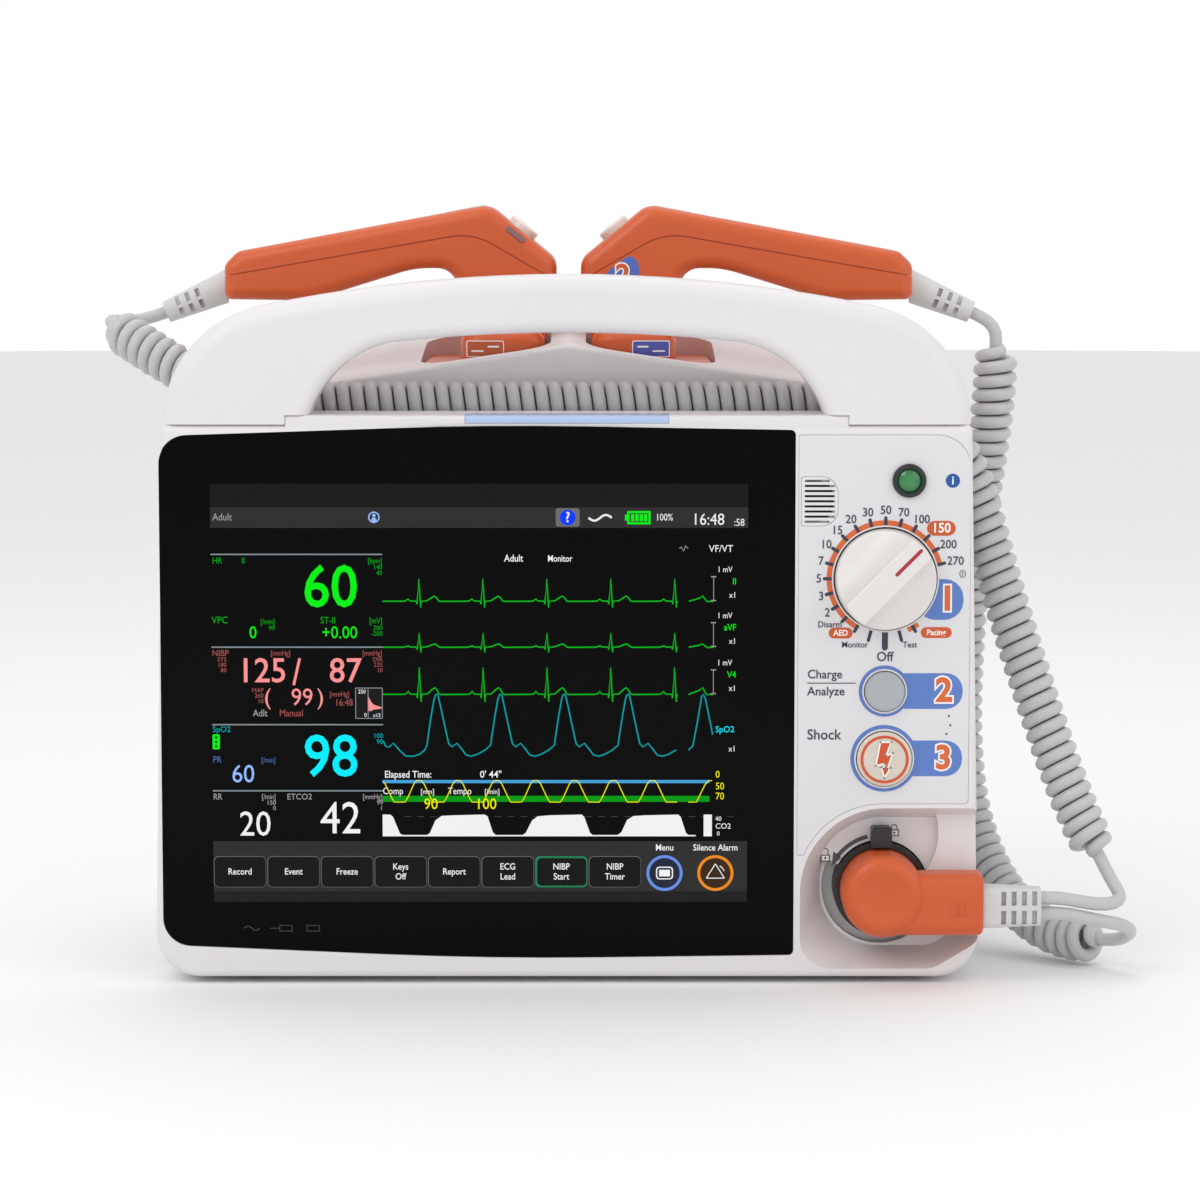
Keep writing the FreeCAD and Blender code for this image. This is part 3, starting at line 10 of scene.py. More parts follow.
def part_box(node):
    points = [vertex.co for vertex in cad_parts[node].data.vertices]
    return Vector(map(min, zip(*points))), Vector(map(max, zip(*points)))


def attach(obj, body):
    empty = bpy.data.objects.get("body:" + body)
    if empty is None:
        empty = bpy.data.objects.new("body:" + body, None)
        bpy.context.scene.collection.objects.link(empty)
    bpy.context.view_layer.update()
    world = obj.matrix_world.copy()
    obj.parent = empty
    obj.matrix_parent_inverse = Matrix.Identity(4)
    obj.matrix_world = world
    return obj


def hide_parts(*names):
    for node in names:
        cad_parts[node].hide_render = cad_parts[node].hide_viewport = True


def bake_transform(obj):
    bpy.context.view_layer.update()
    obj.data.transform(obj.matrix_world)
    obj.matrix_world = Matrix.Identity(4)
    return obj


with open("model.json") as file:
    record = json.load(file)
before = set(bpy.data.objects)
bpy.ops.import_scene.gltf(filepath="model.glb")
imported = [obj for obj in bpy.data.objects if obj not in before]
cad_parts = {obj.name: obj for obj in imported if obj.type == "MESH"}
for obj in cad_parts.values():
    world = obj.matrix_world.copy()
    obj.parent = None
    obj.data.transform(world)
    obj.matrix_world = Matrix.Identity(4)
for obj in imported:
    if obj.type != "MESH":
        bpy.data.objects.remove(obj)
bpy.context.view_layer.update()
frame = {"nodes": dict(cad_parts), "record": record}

bl_info = {
    "name": "Monitor Defibrillator",
    "version": (1, 0, 0),
    "blender": (4, 5, 0),
    "location": "View3D > Sidebar > Defibrillator",
    "description": "Finishes, printed marks, screen image and curly cords of a monitor defibrillator",
    "category": "Object",
}

MM = 0.001
NODES = frame["nodes"]
LOW = {name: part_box(name)[0] for name in NODES}
HIGH = {name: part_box(name)[1] for name in NODES}
FACE_Y = LOW["control_overlay"].y           # front surface of the label sheet
GLASS_Y = LOW["screen_glass"].y             # front surface of the cover glass
CONTROL_X = (LOW["energy_knob"].x + HIGH["energy_knob"].x) / 2
KNOB_Z = (LOW["energy_knob"].z + HIGH["energy_knob"].z) / 2
CHARGE_Z = (LOW["charge_button"].z + HIGH["charge_button"].z) / 2
SHOCK_Z = (LOW["shock_button"].z + HIGH["shock_button"].z) / 2
KNOB_RADIUS = (HIGH["energy_knob"].x - LOW["energy_knob"].x) / 2
SOCKET_X = (LOW["paddle_socket"].x + HIGH["paddle_socket"].x) / 2
SOCKET_Z = (LOW["paddle_socket"].z + HIGH["paddle_socket"].z) / 2
PRINT = 0.00006                             # thickness that a printed mark is drawn with
CAPITAL = 0.73                              # height of a capital at size 1
FLOOR_RADIUS = 6.0
LIGHT_AIM = Vector((0, 0, 0.14))            # middle of the machine, which every light faces
LAMP = (LOW["lamp_lens"] + HIGH["lamp_lens"]) / 2


def linear(colour):
    """Linear RGBA of an sRGB hex colour such as D9622B."""
    values = []
    for index in (0, 2, 4):
        value = int(colour[index:index + 2], 16) / 255
        values.append(value / 12.92 if value <= 0.04045 else ((value + 0.055) / 1.055) ** 2.4)
    return (*values, 1.0)


# ---- settings that a user would change
class CordSettings(bpy.types.PropertyGroup):
    """Sizes of the paddle cords."""
    wire: FloatProperty(name="Wire", description="Diameter of the lead", default=0.0052,
                        unit="LENGTH")
    coil: FloatProperty(name="Coil", description="Outside diameter of the curly stretch",
                        default=0.018, unit="LENGTH")
    pitch: FloatProperty(name="Pitch", description="Distance from turn to turn", default=0.0056,
                         unit="LENGTH")
    left_length: FloatProperty(name="Left wire length", description="Wire in the left paddle's cord",
                               default=3.85, unit="LENGTH")
    right_length: FloatProperty(name="Right wire length",
                                description="Wire in the right paddle's cord", default=2.11,
                                unit="LENGTH")


class StageSettings(bpy.types.PropertyGroup):
    """Camera, floor and lights."""
    distance: FloatProperty(name="Distance", description="Camera to the machine's face", default=1.5,
                            unit="LENGTH")
    elevation: FloatProperty(name="Elevation", description="Camera above the horizon",
                             default=math.radians(6.0), subtype="ANGLE")
    lens: FloatProperty(name="Lens", description="Focal length in mm on a 36 mm sensor", default=117.0)
    aim_height: FloatProperty(name="Aim height", description="Height that the camera looks at",
                              default=0.150, unit="LENGTH")
    aim_side: FloatProperty(name="Aim side", description="How far right of the middle it looks",
                            default=0.0127, unit="LENGTH")
    key: FloatProperty(name="Key light", description="Power of the large soft light", default=5.5)
    room: FloatProperty(name="Room light", description="Strength of the white room's own light",
                        default=0.86)


class DialSettings(bpy.types.PropertyGroup):
    """Printed dial of the energy selector."""
    step: FloatProperty(name="Step", description="Angle from position to position",
                        default=math.radians(15.0), subtype="ANGLE")
    ring_inner: FloatProperty(name="Ring inside", description="Inner radius of the coloured band",
                              default=0.0206, unit="LENGTH")
    ring_outer: FloatProperty(name="Ring outside", description="Outer radius of the coloured band",
                              default=0.0226, unit="LENGTH")


class ScreenSettings(bpy.types.PropertyGroup):
    """Lit image on the display."""
    glow: FloatProperty(name="Glow", description="Brightness of the lit image", default=1.0)
    beats: IntProperty(name="Beats", description="Heart beats across the screen", default=5)


# ---- mesh helpers
def keep_mesh(name, mesh_data, material, body="console"):
    """Link a finished mesh as a piece that rides on a body."""
    piece = bpy.data.objects.new(name, mesh_data)
    bpy.context.scene.collection.objects.link(piece)
    mesh_data.materials.clear()
    mesh_data.materials.append(material)
    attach(piece, body)
    return piece


def finish_bmesh(mesh, name, material, body="console", smooth=False):
    """Turn a bmesh into a piece, with its doubles merged and its faces outwards."""
    bmesh.ops.remove_doubles(mesh, verts=mesh.verts, dist=1e-7)
    bmesh.ops.recalc_face_normals(mesh, faces=mesh.faces)
    data = bpy.data.meshes.new(name)
    mesh.to_mesh(data)
    mesh.free()
    if smooth:
        data.polygons.foreach_set("use_smooth", [True] * len(data.polygons))
    return keep_mesh(name, data, material, body)


def upright(x, y, z, turn=0.0):
    """Matrix that stands a flat drawing up to face the front, its middle at a place."""
    return Matrix.Translation((x, y, z)) @ Matrix.Rotation(math.pi / 2, 4, "X") @ Matrix.Rotation(
        turn, 4, "Z")


def thicken(mesh, faces, thickness):
    """Give flat faces a back and sides."""
    result = bmesh.ops.extrude_face_region(mesh, geom=faces)
    moved = [item for item in result["geom"] if isinstance(item, bmesh.types.BMVert)]
    bmesh.ops.translate(mesh, verts=moved, vec=(0, 0, thickness))


def flat_polygon(mesh, points, matrix, thickness=PRINT):
    """Thin plate with the outline given in a flat drawing's own x and y."""
    verts = [mesh.verts.new((x, y, 0)) for x, y in points]
    face = mesh.faces.new(verts)
    start = len(mesh.verts) - len(verts)
    thicken(mesh, [face], thickness)
    mesh.verts.ensure_lookup_table()
    bmesh.ops.transform(mesh, matrix=matrix, verts=mesh.verts[start:])


def pill_points(width, height, radius, steps=8):
    """Outline of a rounded rectangle round the origin."""
    points = []
    for corner, (sx, sy) in enumerate(((1, 1), (-1, 1), (-1, -1), (1, -1))):
        centre = (sx * (width / 2 - radius), sy * (height / 2 - radius))
        for step in range(steps + 1):
            angle = math.pi / 2 * (corner + step / steps)
            points.append((centre[0] + radius * math.cos(angle), centre[1] + radius * math.sin(angle)))
    return points


def disc_points(radius, count=48):
    """Outline of a circle round the origin."""
    return [(radius * math.cos(2 * math.pi * i / count), radius * math.sin(2 * math.pi * i / count))
            for i in range(count)]


def band(mesh, inner, outer, matrix, start=0.0, end=2 * math.pi, thickness=PRINT, steps=72):
    """Flat ring or part of a ring, spun from one edge."""
    first = len(mesh.verts)
    edge_verts = [mesh.verts.new((inner, 0, 0)), mesh.verts.new((outer, 0, 0))]
    edge = mesh.edges.new(edge_verts)
    bmesh.ops.rotate(mesh, cent=(0, 0, 0), matrix=Matrix.Rotation(start, 3, "Z"), verts=edge_verts)
    whole = abs(end - start - 2 * math.pi) < 1e-6
    bmesh.ops.spin(mesh, geom=[*edge_verts, edge], cent=(0, 0, 0), axis=(0, 0, 1), dvec=(0, 0, 0),
                   angle=end - start, steps=steps, use_merge=whole, use_duplicate=False)
    mesh.verts.ensure_lookup_table()
    ring = set(mesh.verts[first:])
    faces = [face for face in mesh.faces if all(vert in ring for vert in face.verts)]
    thicken(mesh, faces, thickness)
    mesh.verts.ensure_lookup_table()
    bmesh.ops.transform(mesh, matrix=matrix, verts=mesh.verts[first:])


def mesh_of_curve(curve):
    """Mesh that a curve makes; the curve itself is used up."""
    holder = bpy.data.objects.new(curve.name, curve)
    bpy.context.scene.collection.objects.link(holder)
    bpy.context.view_layer.update()
    data = bpy.data.meshes.new_from_object(holder.evaluated_get(
        bpy.context.evaluated_depsgraph_get()))
    bpy.data.objects.remove(holder)
    bpy.data.curves.remove(curve)
    return data


def lettering(mesh, text, height, matrix, align="CENTER", bold=0.0, spacing=1.0, squeeze=1.0):
    """Letters as thin solids, added to a bmesh; height is that of a capital."""
    curve = bpy.data.curves.new("lettering", "FONT")
    curve.body = text
    curve.align_x = align
    curve.align_y = "CENTER"
    curve.size = height / CAPITAL
    curve.offset = bold * height
    curve.space_character = spacing
    curve.extrude = PRINT / 2
    curve.resolution_u = 3
    letters = mesh_of_curve(curve)
    letters.transform(matrix @ Matrix.Diagonal((squeeze, 1.0, 1.0, 1.0)))
    mesh.from_mesh(letters)
    bpy.data.meshes.remove(letters)


# ---- materials
MIX_A = 6                                   # colour sockets of a Mix node
MIX_B = 7
MIX_OUT = 2


def node(tree, kind, inputs=None, **settings):
    """Add a shader node; inputs gives a socket a value or another node's output."""
    made = tree.nodes.new(kind)
    for key, value in settings.items():
        setattr(made, key, value)
    for socket, value in (inputs or {}).items():
        if isinstance(value, bpy.types.NodeSocket):
            tree.links.new(value, made.inputs[socket])
        else:
            made.inputs[socket].default_value = value
    return made


def surface(name, **constants):
    """New material, its node tree and its shader with the settings that are the same all over."""
    material = bpy.data.materials.new(name)
    material.use_nodes = True
    tree = material.node_tree
    shader = tree.nodes["Principled BSDF"]
    for socket, value in constants.items():
        shader.inputs[socket.replace("_", " ")].default_value = value
    return material, tree, shader


def per_metre(size_mm):
    """Texture scale that repeats about every so many millimetres."""
    return 1 / (size_mm * MM)


def mottle(tree, shader, first, second, size_mm, detail=3.0):
    """Colour that drifts between two near shades in patches of a size."""
    where = node(tree, "ShaderNodeTexCoord")
    noise = node(tree, "ShaderNodeTexNoise", {"Vector": where.outputs["Object"],
                                              "Scale": per_metre(size_mm), "Detail": detail})
    mix = node(tree, "ShaderNodeMix", {0: noise.outputs["Fac"], MIX_A: linear(first),
                                       MIX_B: linear(second)}, data_type="RGBA")
    tree.links.new(mix.outputs[MIX_OUT], shader.inputs["Base Color"])
    return where


def varied_roughness(tree, shader, where, low, high, size_mm):
    """Gloss that changes a little from place to place, as handling leaves it."""
    noise = node(tree, "ShaderNodeTexNoise", {"Vector": where.outputs["Object"],
                                              "Scale": per_metre(size_mm), "Detail": 4.0})
    span = node(tree, "ShaderNodeMapRange", {"Value": noise.outputs["Fac"], "From Min": 0.3,
                                             "From Max": 0.7, "To Min": low, "To Max": high})
    tree.links.new(span.outputs["Result"], shader.inputs["Roughness"])


def grained(tree, shader, where, size_mm, depth_mm, texture="ShaderNodeTexNoise"):
    """Fine relief of a moulded or cast face."""
    settings = {"Vector": where.outputs["Object"], "Scale": per_metre(size_mm)}
    relief = node(tree, texture, settings)
    output = relief.outputs["Distance" if texture == "ShaderNodeTexVoronoi" else "Fac"]
    bump = node(tree, "ShaderNodeBump", {"Height": output, "Distance": depth_mm * MM,
                                         "Strength": 0.6})
    tree.links.new(bump.outputs["Normal"], shader.inputs["Normal"])


def moulded(name, first, second, rough, grain_mm=0.7, depth_mm=0.02, patch_mm=60.0, **constants):
    """Plastic part from a mould: two near shades, a spark-eroded grain and uneven gloss."""
    material, tree, shader = surface(name, IOR=1.53, **constants)
    where = mottle(tree, shader, first, second, patch_mm)
    varied_roughness(tree, shader, where, rough - 0.05, rough + 0.06, patch_mm / 3)
    grained(tree, shader, where, grain_mm, depth_mm)
    return material


def housing_abs():
    """ABS blend, moulded with a fine matt texture: warm grey-white with a broad soft sheen."""
    return moulded("textured_abs", "E2DFE0", "DDDADB", 0.42, grain_mm=0.8, depth_mm=0.018)


def knob_abs():
    """Plain ABS, moulded smooth: whiter than the housing, with a satin highlight."""
    return moulded("satin_abs", "E3DFDC", "DDD9D6", 0.34, grain_mm=0.6, depth_mm=0.006)


def black_abs():
    """Black ABS, moulded with a fine texture: dark with a soft grey sheen."""
    return moulded("black_abs", "171718", "202022", 0.38, grain_mm=0.6, depth_mm=0.01)


def grille_abs():
    """White ABS grille: pale ribs against the dark behind them."""
    return moulded("white_abs", "E2E0E0", "DAD8D8", 0.45, grain_mm=0.5, depth_mm=0.01)


def battery_abs():
    """Dark grey ABS battery case: matt, with worn gloss on its flats."""
    return moulded("grey_abs_case", "4A4B4E", "545558", 0.50, grain_mm=0.9, depth_mm=0.03)


def paddle_pc():
    """Polycarbonate blend of the paddles: strong orange with a satin, slightly waxy gloss."""
    return moulded("orange_polycarbonate", "D25B24", "C9521E", 0.36, grain_mm=0.9, depth_mm=0.012,
                   Subsurface_Weight=0.04, Subsurface_Scale=0.002)


def relief_tpe():
    """Thermoplastic elastomer of the strain reliefs: soft pale grey with no sharp highlight."""
    return moulded("grey_elastomer", "D3D2D2", "CAC9C9", 0.52, grain_mm=0.5, depth_mm=0.01,
                   Subsurface_Weight=0.06, Subsurface_Scale=0.002)


def foot_rubber():
    """Moulded nitrile rubber: near black, dull and slightly dusty."""
    return moulded("nitrile_rubber", "1D1D1E", "29292A", 0.68, grain_mm=0.6, depth_mm=0.03)


def cord_jacket():
    """Polyurethane cord jacket: pale grey, smooth, with a soft line of light along each turn."""
    material, tree, shader = surface("polyurethane_jacket", IOR=1.5, Subsurface_Weight=0.05,
                                     Subsurface_Scale=0.0015, Coat_Weight=0.25, Coat_Roughness=0.25)
    where = mottle(tree, shader, "C3C3C4", "B7B7B9", 14.0)
    varied_roughness(tree, shader, where, 0.34, 0.44, 8.0)
    grained(tree, shader, where, 1.2, 0.012)
    return material


def label_film():
    """Printed polycarbonate film: cooler white than the housing, velvet surface."""
    return moulded("polycarbonate_film", "DEDDDF", "D9D8DA", 0.40, grain_mm=0.5, depth_mm=0.006)


def cover_glass():
    """Toughened glass with a black printed back: deep black under a clear, smooth face."""
    material, tree, shader = surface("black_backed_glass", IOR=1.52, Specular_IOR_Level=0.06)
    where = mottle(tree, shader, "020202", "050506", 90.0)
    varied_roughness(tree, shader, where, 0.05, 0.09, 40.0)
    return material


def display_panel():
    """Liquid crystal panel behind the glass: dark with a faint cell grid of 0.3 mm."""
    material, tree, shader = surface("liquid_crystal_panel", IOR=1.5)
    where = mottle(tree, shader, "08090B", "111216", 0.3, detail=0.0)
    varied_roughness(tree, shader, where, 0.15, 0.22, 20.0)
    return material


def alarm_acrylic():
    """Frosted light-blue acrylic light pipe: pale, milky, with light passing into it."""
    material, tree, shader = surface("frosted_blue_acrylic", IOR=1.49, Subsurface_Weight=0.35,
                                     Subsurface_Scale=0.006, Coat_Weight=0.4, Coat_Roughness=0.15)
    where = mottle(tree, shader, "B7CBEB", "A9C0E6", 12.0)
    varied_roughness(tree, shader, where, 0.25, 0.35, 6.0)
    grained(tree, shader, where, 0.8, 0.01)
    return material


def green_acrylic():
    """Green acrylic lens with a faint glow: saturated middle, dark towards its rim; the bright middle is a
    painted hotspot highlight, in its colour as well as in the glow.
    """
    material, tree, shader = surface("green_acrylic", IOR=1.49, Coat_Weight=1.0, Coat_Roughness=0.04,
                                     Roughness=0.18, Emission_Strength=0.45)
    where = node(tree, "ShaderNodeTexCoord")
    offset = node(tree, "ShaderNodeVectorMath",
                  {0: where.outputs["Object"],
                   1: (LAMP.x, LAMP.y, LAMP.z)}, operation="DISTANCE")
    # painted hotspot highlight: colour and glow are brightest at the lens's middle and fade to a dark rim 5
    # mm out
    painted_hotspot_fade = node(tree, "ShaderNodeMapRange", {"Value": offset.outputs["Value"], "From Min": 0.0,
                                             "From Max": 0.005, "To Min": 0.0, "To Max": 1.0})
    glow = node(tree, "ShaderNodeMix", {0: painted_hotspot_fade.outputs["Result"], MIX_A: linear("1FB04E"),
                                        MIX_B: linear("05461F")}, data_type="RGBA")
    tree.links.new(glow.outputs[MIX_OUT], shader.inputs["Base Color"])
    tree.links.new(glow.outputs[MIX_OUT], shader.inputs["Emission Color"])
    return material


def blue_pc():
    """Glossy blue polycarbonate of the button rings: clear blue with a sharp small highlight."""
    return moulded("blue_polycarbonate", "2F55B4", "284BA6", 0.26, grain_mm=1.2, depth_mm=0.006,
                   Coat_Weight=0.4, Coat_Roughness=0.12)


def charge_cap():
    """Silicone-coated grey button cap: blue-grey, matt and soft to the eye."""
    return moulded("grey_silicone", "AAB0B4", "A2A8AD", 0.46, grain_mm=0.6, depth_mm=0.012)


def frosted_cap(name, first, second):
    """Frosted polycarbonate button cap: milky, with light scattering inside it."""
    material, tree, shader = surface(name, IOR=1.58, Subsurface_Weight=0.4, Subsurface_Scale=0.004,
                                     Coat_Weight=0.5, Coat_Roughness=0.1)
    where = mottle(tree, shader, first, second, 6.0)
    varied_roughness(tree, shader, where, 0.24, 0.34, 5.0)
    grained(tree, shader, where, 0.9, 0.008)
    return material


def brushed_steel():
    """Stainless steel, brushed along one way: pale grey with streaked highlights."""
    material, tree, shader = surface("brushed_stainless", Metallic=1.0)
    where = mottle(tree, shader, "B9BABC", "A9AAAD", 8.0)
    stretch = node(tree, "ShaderNodeMapping", {"Vector": where.outputs["Object"],
                                               "Scale": (0.03, 1.0, 1.0)})
    streaks = node(tree, "ShaderNodeTexNoise", {"Vector": stretch.outputs["Vector"],
                                                "Scale": per_metre(0.4), "Detail": 2.0})
    span = node(tree, "ShaderNodeMapRange", {"Value": streaks.outputs["Fac"], "To Min": 0.22,
                                             "To Max": 0.45})
    tree.links.new(span.outputs["Result"], shader.inputs["Roughness"])
    bump = node(tree, "ShaderNodeBump", {"Height": streaks.outputs["Fac"], "Distance": 0.01 * MM,
                                         "Strength": 0.5})
    tree.links.new(bump.outputs["Normal"], shader.inputs["Normal"])
    return material


def plain_metal(name, first, second, rough):
    """Metal with a plain plated or rolled face and faint patches."""
    material, tree, shader = surface(name, Metallic=1.0)
    where = mottle(tree, shader, first, second, 5.0)
    varied_roughness(tree, shader, where, rough - 0.05, rough + 0.08, 3.0)
    grained(tree, shader, where, 0.8, 0.008)
    return material


def circuit_board():
    """Glass-epoxy board under green solder resist: glossy, with a weave that shows through."""
    material, tree, shader = surface("glass_epoxy_board", IOR=1.5)
    where = mottle(tree, shader, "12512B", "0D4424", 2.5)
    varied_roughness(tree, shader, where, 0.25, 0.40, 4.0)
    grained(tree, shader, where, 1.0, 0.02)
    return material


def thermal_paper():
    """Coated thermal paper on a roll: clean white with a faint tooth."""
    return moulded("thermal_paper", "F1EFEB", "E9E7E2", 0.75, grain_mm=0.4, depth_mm=0.02)


def paper_floor():
    """Seamless background paper: bright neutral white, quite matt."""
    material, tree, shader = surface("background_paper", IOR=1.45, Specular_IOR_Level=0.2)
    where = mottle(tree, shader, "F6F6F6", "F4F4F4", 400.0)
    varied_roughness(tree, shader, where, 0.80, 0.90, 200.0)
    return material


def ink(name, colour, rough=0.38):
    """Screen-printed ink on film or plastic: a flat colour whose density varies a little."""
    red, green, blue = (int(colour[index:index + 2], 16) for index in (0, 2, 4))
    lighter = "%02X%02X%02X" % tuple(min(255, value + 6) for value in (red, green, blue))
    material, tree, shader = surface(name, IOR=1.5)
    where = mottle(tree, shader, colour, lighter, 3.0)
    varied_roughness(tree, shader, where, rough - 0.04, rough + 0.05, 4.0)
    return material


def lit(name, colour, glow):
    """Lit cells of the display under the glass: pure colour with the glass's gloss on top."""
    material, tree, shader = surface(name, IOR=1.52, Base_Color=(0.0, 0.0, 0.0, 1.0),
                                     Specular_IOR_Level=0.06, Emission_Strength=glow)
    where = node(tree, "ShaderNodeTexCoord")
    cells = node(tree, "ShaderNodeTexNoise", {"Vector": where.outputs["Object"],
                                              "Scale": per_metre(30.0), "Detail": 1.0})
    dim = tuple(channel * 0.94 for channel in linear(colour)[:3]) + (1.0,)
    mix = node(tree, "ShaderNodeMix", {0: cells.outputs["Fac"], MIX_A: linear(colour),
                                       MIX_B: dim}, data_type="RGBA")
    tree.links.new(mix.outputs[MIX_OUT], shader.inputs["Emission Color"])
    varied_roughness(tree, shader, where, 0.05, 0.09, 40.0)
    return material


class DEFIB_OT_finishes(bpy.types.Operator):
    """Give every solid that stays in view its real finish."""
    bl_idname = "defib.finishes"
    bl_label = "Finishes"

    def execute(self, context):
        finishes = {
            "housing_plastic": housing_abs(), "screen_glass": cover_glass(),
            "black_plastic": black_abs(), "display": display_panel(),
            "label_sheet": label_film(), "alarm_blue": alarm_acrylic(),
            "grille_plastic": grille_abs(), "green_lens": green_acrylic(),
            "steel": plain_metal("zinc_plated_steel", "A5A6A8", "98999C", 0.35),
            "electrode_steel": brushed_steel(), "blue_plastic": blue_pc(),
            "button_grey": charge_cap(),
            "button_clear": frosted_cap("frosted_polycarbonate", "E6E0DA", "DED8D2"),
            "orange_plastic": paddle_pc(), "relief_rubber": relief_tpe(),
            "cord_jacket": cord_jacket(), "rubber": foot_rubber(), "paper": thermal_paper(),
            "battery_plastic": battery_abs(),
            "brass": plain_metal("nickel_plated_brass", "C9B98F", "BDAC80", 0.25),
            "board": circuit_board(),
            "aluminium": plain_metal("rolled_aluminium", "B4B5B7", "A6A7AA", 0.4)}
        own = {"energy_knob": knob_abs(),
               "shock_button": frosted_cap("frosted_amber_polycarbonate", "D9CFC2", "D1C6B8")}
        for part in frame["record"]["subparts"]:
            name = part["node"]
            piece = bpy.data.objects[name]
            finish = own.get(name, finishes[part["material_slot"]])
            for slot in piece.material_slots:
                slot.material = finish
        return {"FINISHED"}


# ---- camera, floor and lights
class DEFIB_OT_stage(bpy.types.Operator):
    """Add the camera, the pale floor and soft studio light."""
    bl_idname = "defib.stage"
    bl_label = "Stage"

    def execute(self, context):
        stage = context.scene.defib_stage
        scene = context.scene
        target = Vector((stage.aim_side, FACE_Y, stage.aim_height))
        back = Vector((0, -math.cos(stage.elevation), math.sin(stage.elevation)))
        camera = bpy.data.objects.new("camera", bpy.data.cameras.new("camera"))
        camera.data.lens = stage.lens
        camera.data.sensor_width = 36
        camera.location = target + back * stage.distance
        camera.rotation_euler = (-back).to_track_quat("-Z", "Y").to_euler()
        scene.collection.objects.link(camera)
        scene.camera = camera
        scene.view_settings.view_transform = "Standard"
        mesh = bmesh.new()
        bmesh.ops.create_circle(mesh, cap_ends=True, segments=64, radius=FLOOR_RADIUS)
        data = bpy.data.meshes.new("floor")
        mesh.to_mesh(data)
        mesh.free()
        floor = bpy.data.objects.new("floor", data)
        data.materials.append(paper_floor())
        scene.collection.objects.link(floor)
        world = bpy.data.worlds.new("white_room")
        world.use_nodes = True
        background = world.node_tree.nodes["Background"]
        background.inputs["Color"].default_value = linear("FFFFFF")
        seen = node(world.node_tree, "ShaderNodeLightPath")
        strength = node(world.node_tree, "ShaderNodeMapRange",
                        {"Value": seen.outputs["Is Camera Ray"], "To Min": stage.room, "To Max": 1.0})
        world.node_tree.links.new(strength.outputs["Result"], background.inputs["Strength"])
        scene.world = world
        for name, power, size, place in (("key_light", stage.key, 0.9, (-0.75, -1.0, 1.25)),
                                         ("fill_light", stage.key * 0.45, 1.2, (1.1, -0.9, 0.8)),
                                         ("top_light", stage.key * 0.5, 1.0, (0.0, 0.35, 1.4))):
            light = bpy.data.lights.new(name, "AREA")
            light.shape = "SQUARE"
            light.size = size
            light.energy = power
            holder = bpy.data.objects.new(name, light)
            holder.location = place
            aim = LIGHT_AIM - holder.location
            holder.rotation_euler = aim.to_track_quat("-Z", "Y").to_euler()
            scene.collection.objects.link(holder)
        return {"FINISHED"}


# ---- cords: the routes are the same as the solids', in metres
LEFT_ROUTE = [(-0.1639, 0.0100, 0.2573), (-0.1730, 0.0096, 0.2542), (-0.1820, 0.0055, 0.2538),
              (-0.1854, -0.0037, 0.2546), (-0.1810, -0.0105, 0.2518), (-0.1755, -0.0190, 0.2483),
              (-0.1600, -0.0295, 0.2395), (-0.1420, -0.0375, 0.2300), (-0.1220, -0.0420, 0.2242),
              (-0.1020, -0.0430, 0.2232), (-0.0820, -0.0430, 0.2232), (0.0840, -0.0430, 0.2232),
              (0.1040, -0.0430, 0.2232), (0.1260, -0.0426, 0.2226), (0.1450, -0.0420, 0.2145),
              (0.1570, -0.0420, 0.2000), (0.1630, -0.0435, 0.1810), (0.1695, -0.0460, 0.1570),
              (0.1770, -0.0500, 0.1320), (0.1850, -0.0545, 0.1070), (0.1930, -0.0590, 0.0830),
              (0.2010, -0.0638, 0.0620), (0.2080, -0.0678, 0.0480), (0.2130, -0.0706, 0.0380),
              (0.2165, -0.0750, 0.0324), (0.2140, -0.0810, 0.0306), (0.2065, -0.0855, 0.0308),
              (0.1980, -0.0879, 0.0326), (0.1905, -0.0893, 0.0342), (0.1830, -0.0893, 0.0342)]
RIGHT_ROUTE = [(0.1639, 0.0100, 0.2573), (0.1698, 0.0096, 0.2547), (0.1737, 0.0079, 0.2500),
               (0.1736, 0.0080, 0.2440), (0.1734, 0.0082, 0.2260), (0.1712, 0.0094, 0.2060),
               (0.1680, 0.0106, 0.1840), (0.1650, 0.0116, 0.1600), (0.1626, 0.0122, 0.1340),
               (0.1612, 0.0120, 0.1080), (0.1610, 0.0102, 0.0830), (0.1628, 0.0050, 0.0590),
               (0.1684, -0.0060, 0.0380), (0.1775, -0.0200, 0.0218), (0.1890, -0.0340, 0.0126),
               (0.2005, -0.0460, 0.0096), (0.2100, -0.0555, 0.0112), (0.2175, -0.0630, 0.0125),
               (0.2215, -0.0720, 0.0172), (0.2180, -0.0795, 0.0214), (0.2095, -0.0845, 0.0238),
               (0.2000, -0.0874, 0.0262), (0.1915, -0.0893, 0.0282), (0.1830, -0.0893, 0.0282)]
LEFT_LEADS = ((-0.1810, -0.0105, 0.2518), (0.2080, -0.0678, 0.0480))      # where the coil starts and ends
RIGHT_LEADS = ((0.1736, 0.0080, 0.2440), (0.2100, -0.0555, 0.0112))


def smooth_route(points):
    """Points along the smooth spline that has the route's points as its control points."""
    curve = bpy.data.curves.new("route", "CURVE")
    curve.dimensions = "3D"
    curve.resolution_u = 24
    spline = curve.splines.new("NURBS")
    spline.points.add(len(points) - 1)
    for target, point in zip(spline.points, points):
        target.co = (*point, 1.0)
    spline.order_u = 3
    spline.use_endpoint_u = True
    data = mesh_of_curve(curve)
    line = [vert.co.copy() for vert in data.vertices]
    bpy.data.meshes.remove(data)
    return line


def measured(line):
    """Distance of each point of a line from its start."""
    distances = [0.0]
    for before, after in zip(line, line[1:]):
        distances.append(distances[-1] + (after - before).length)
    return distances


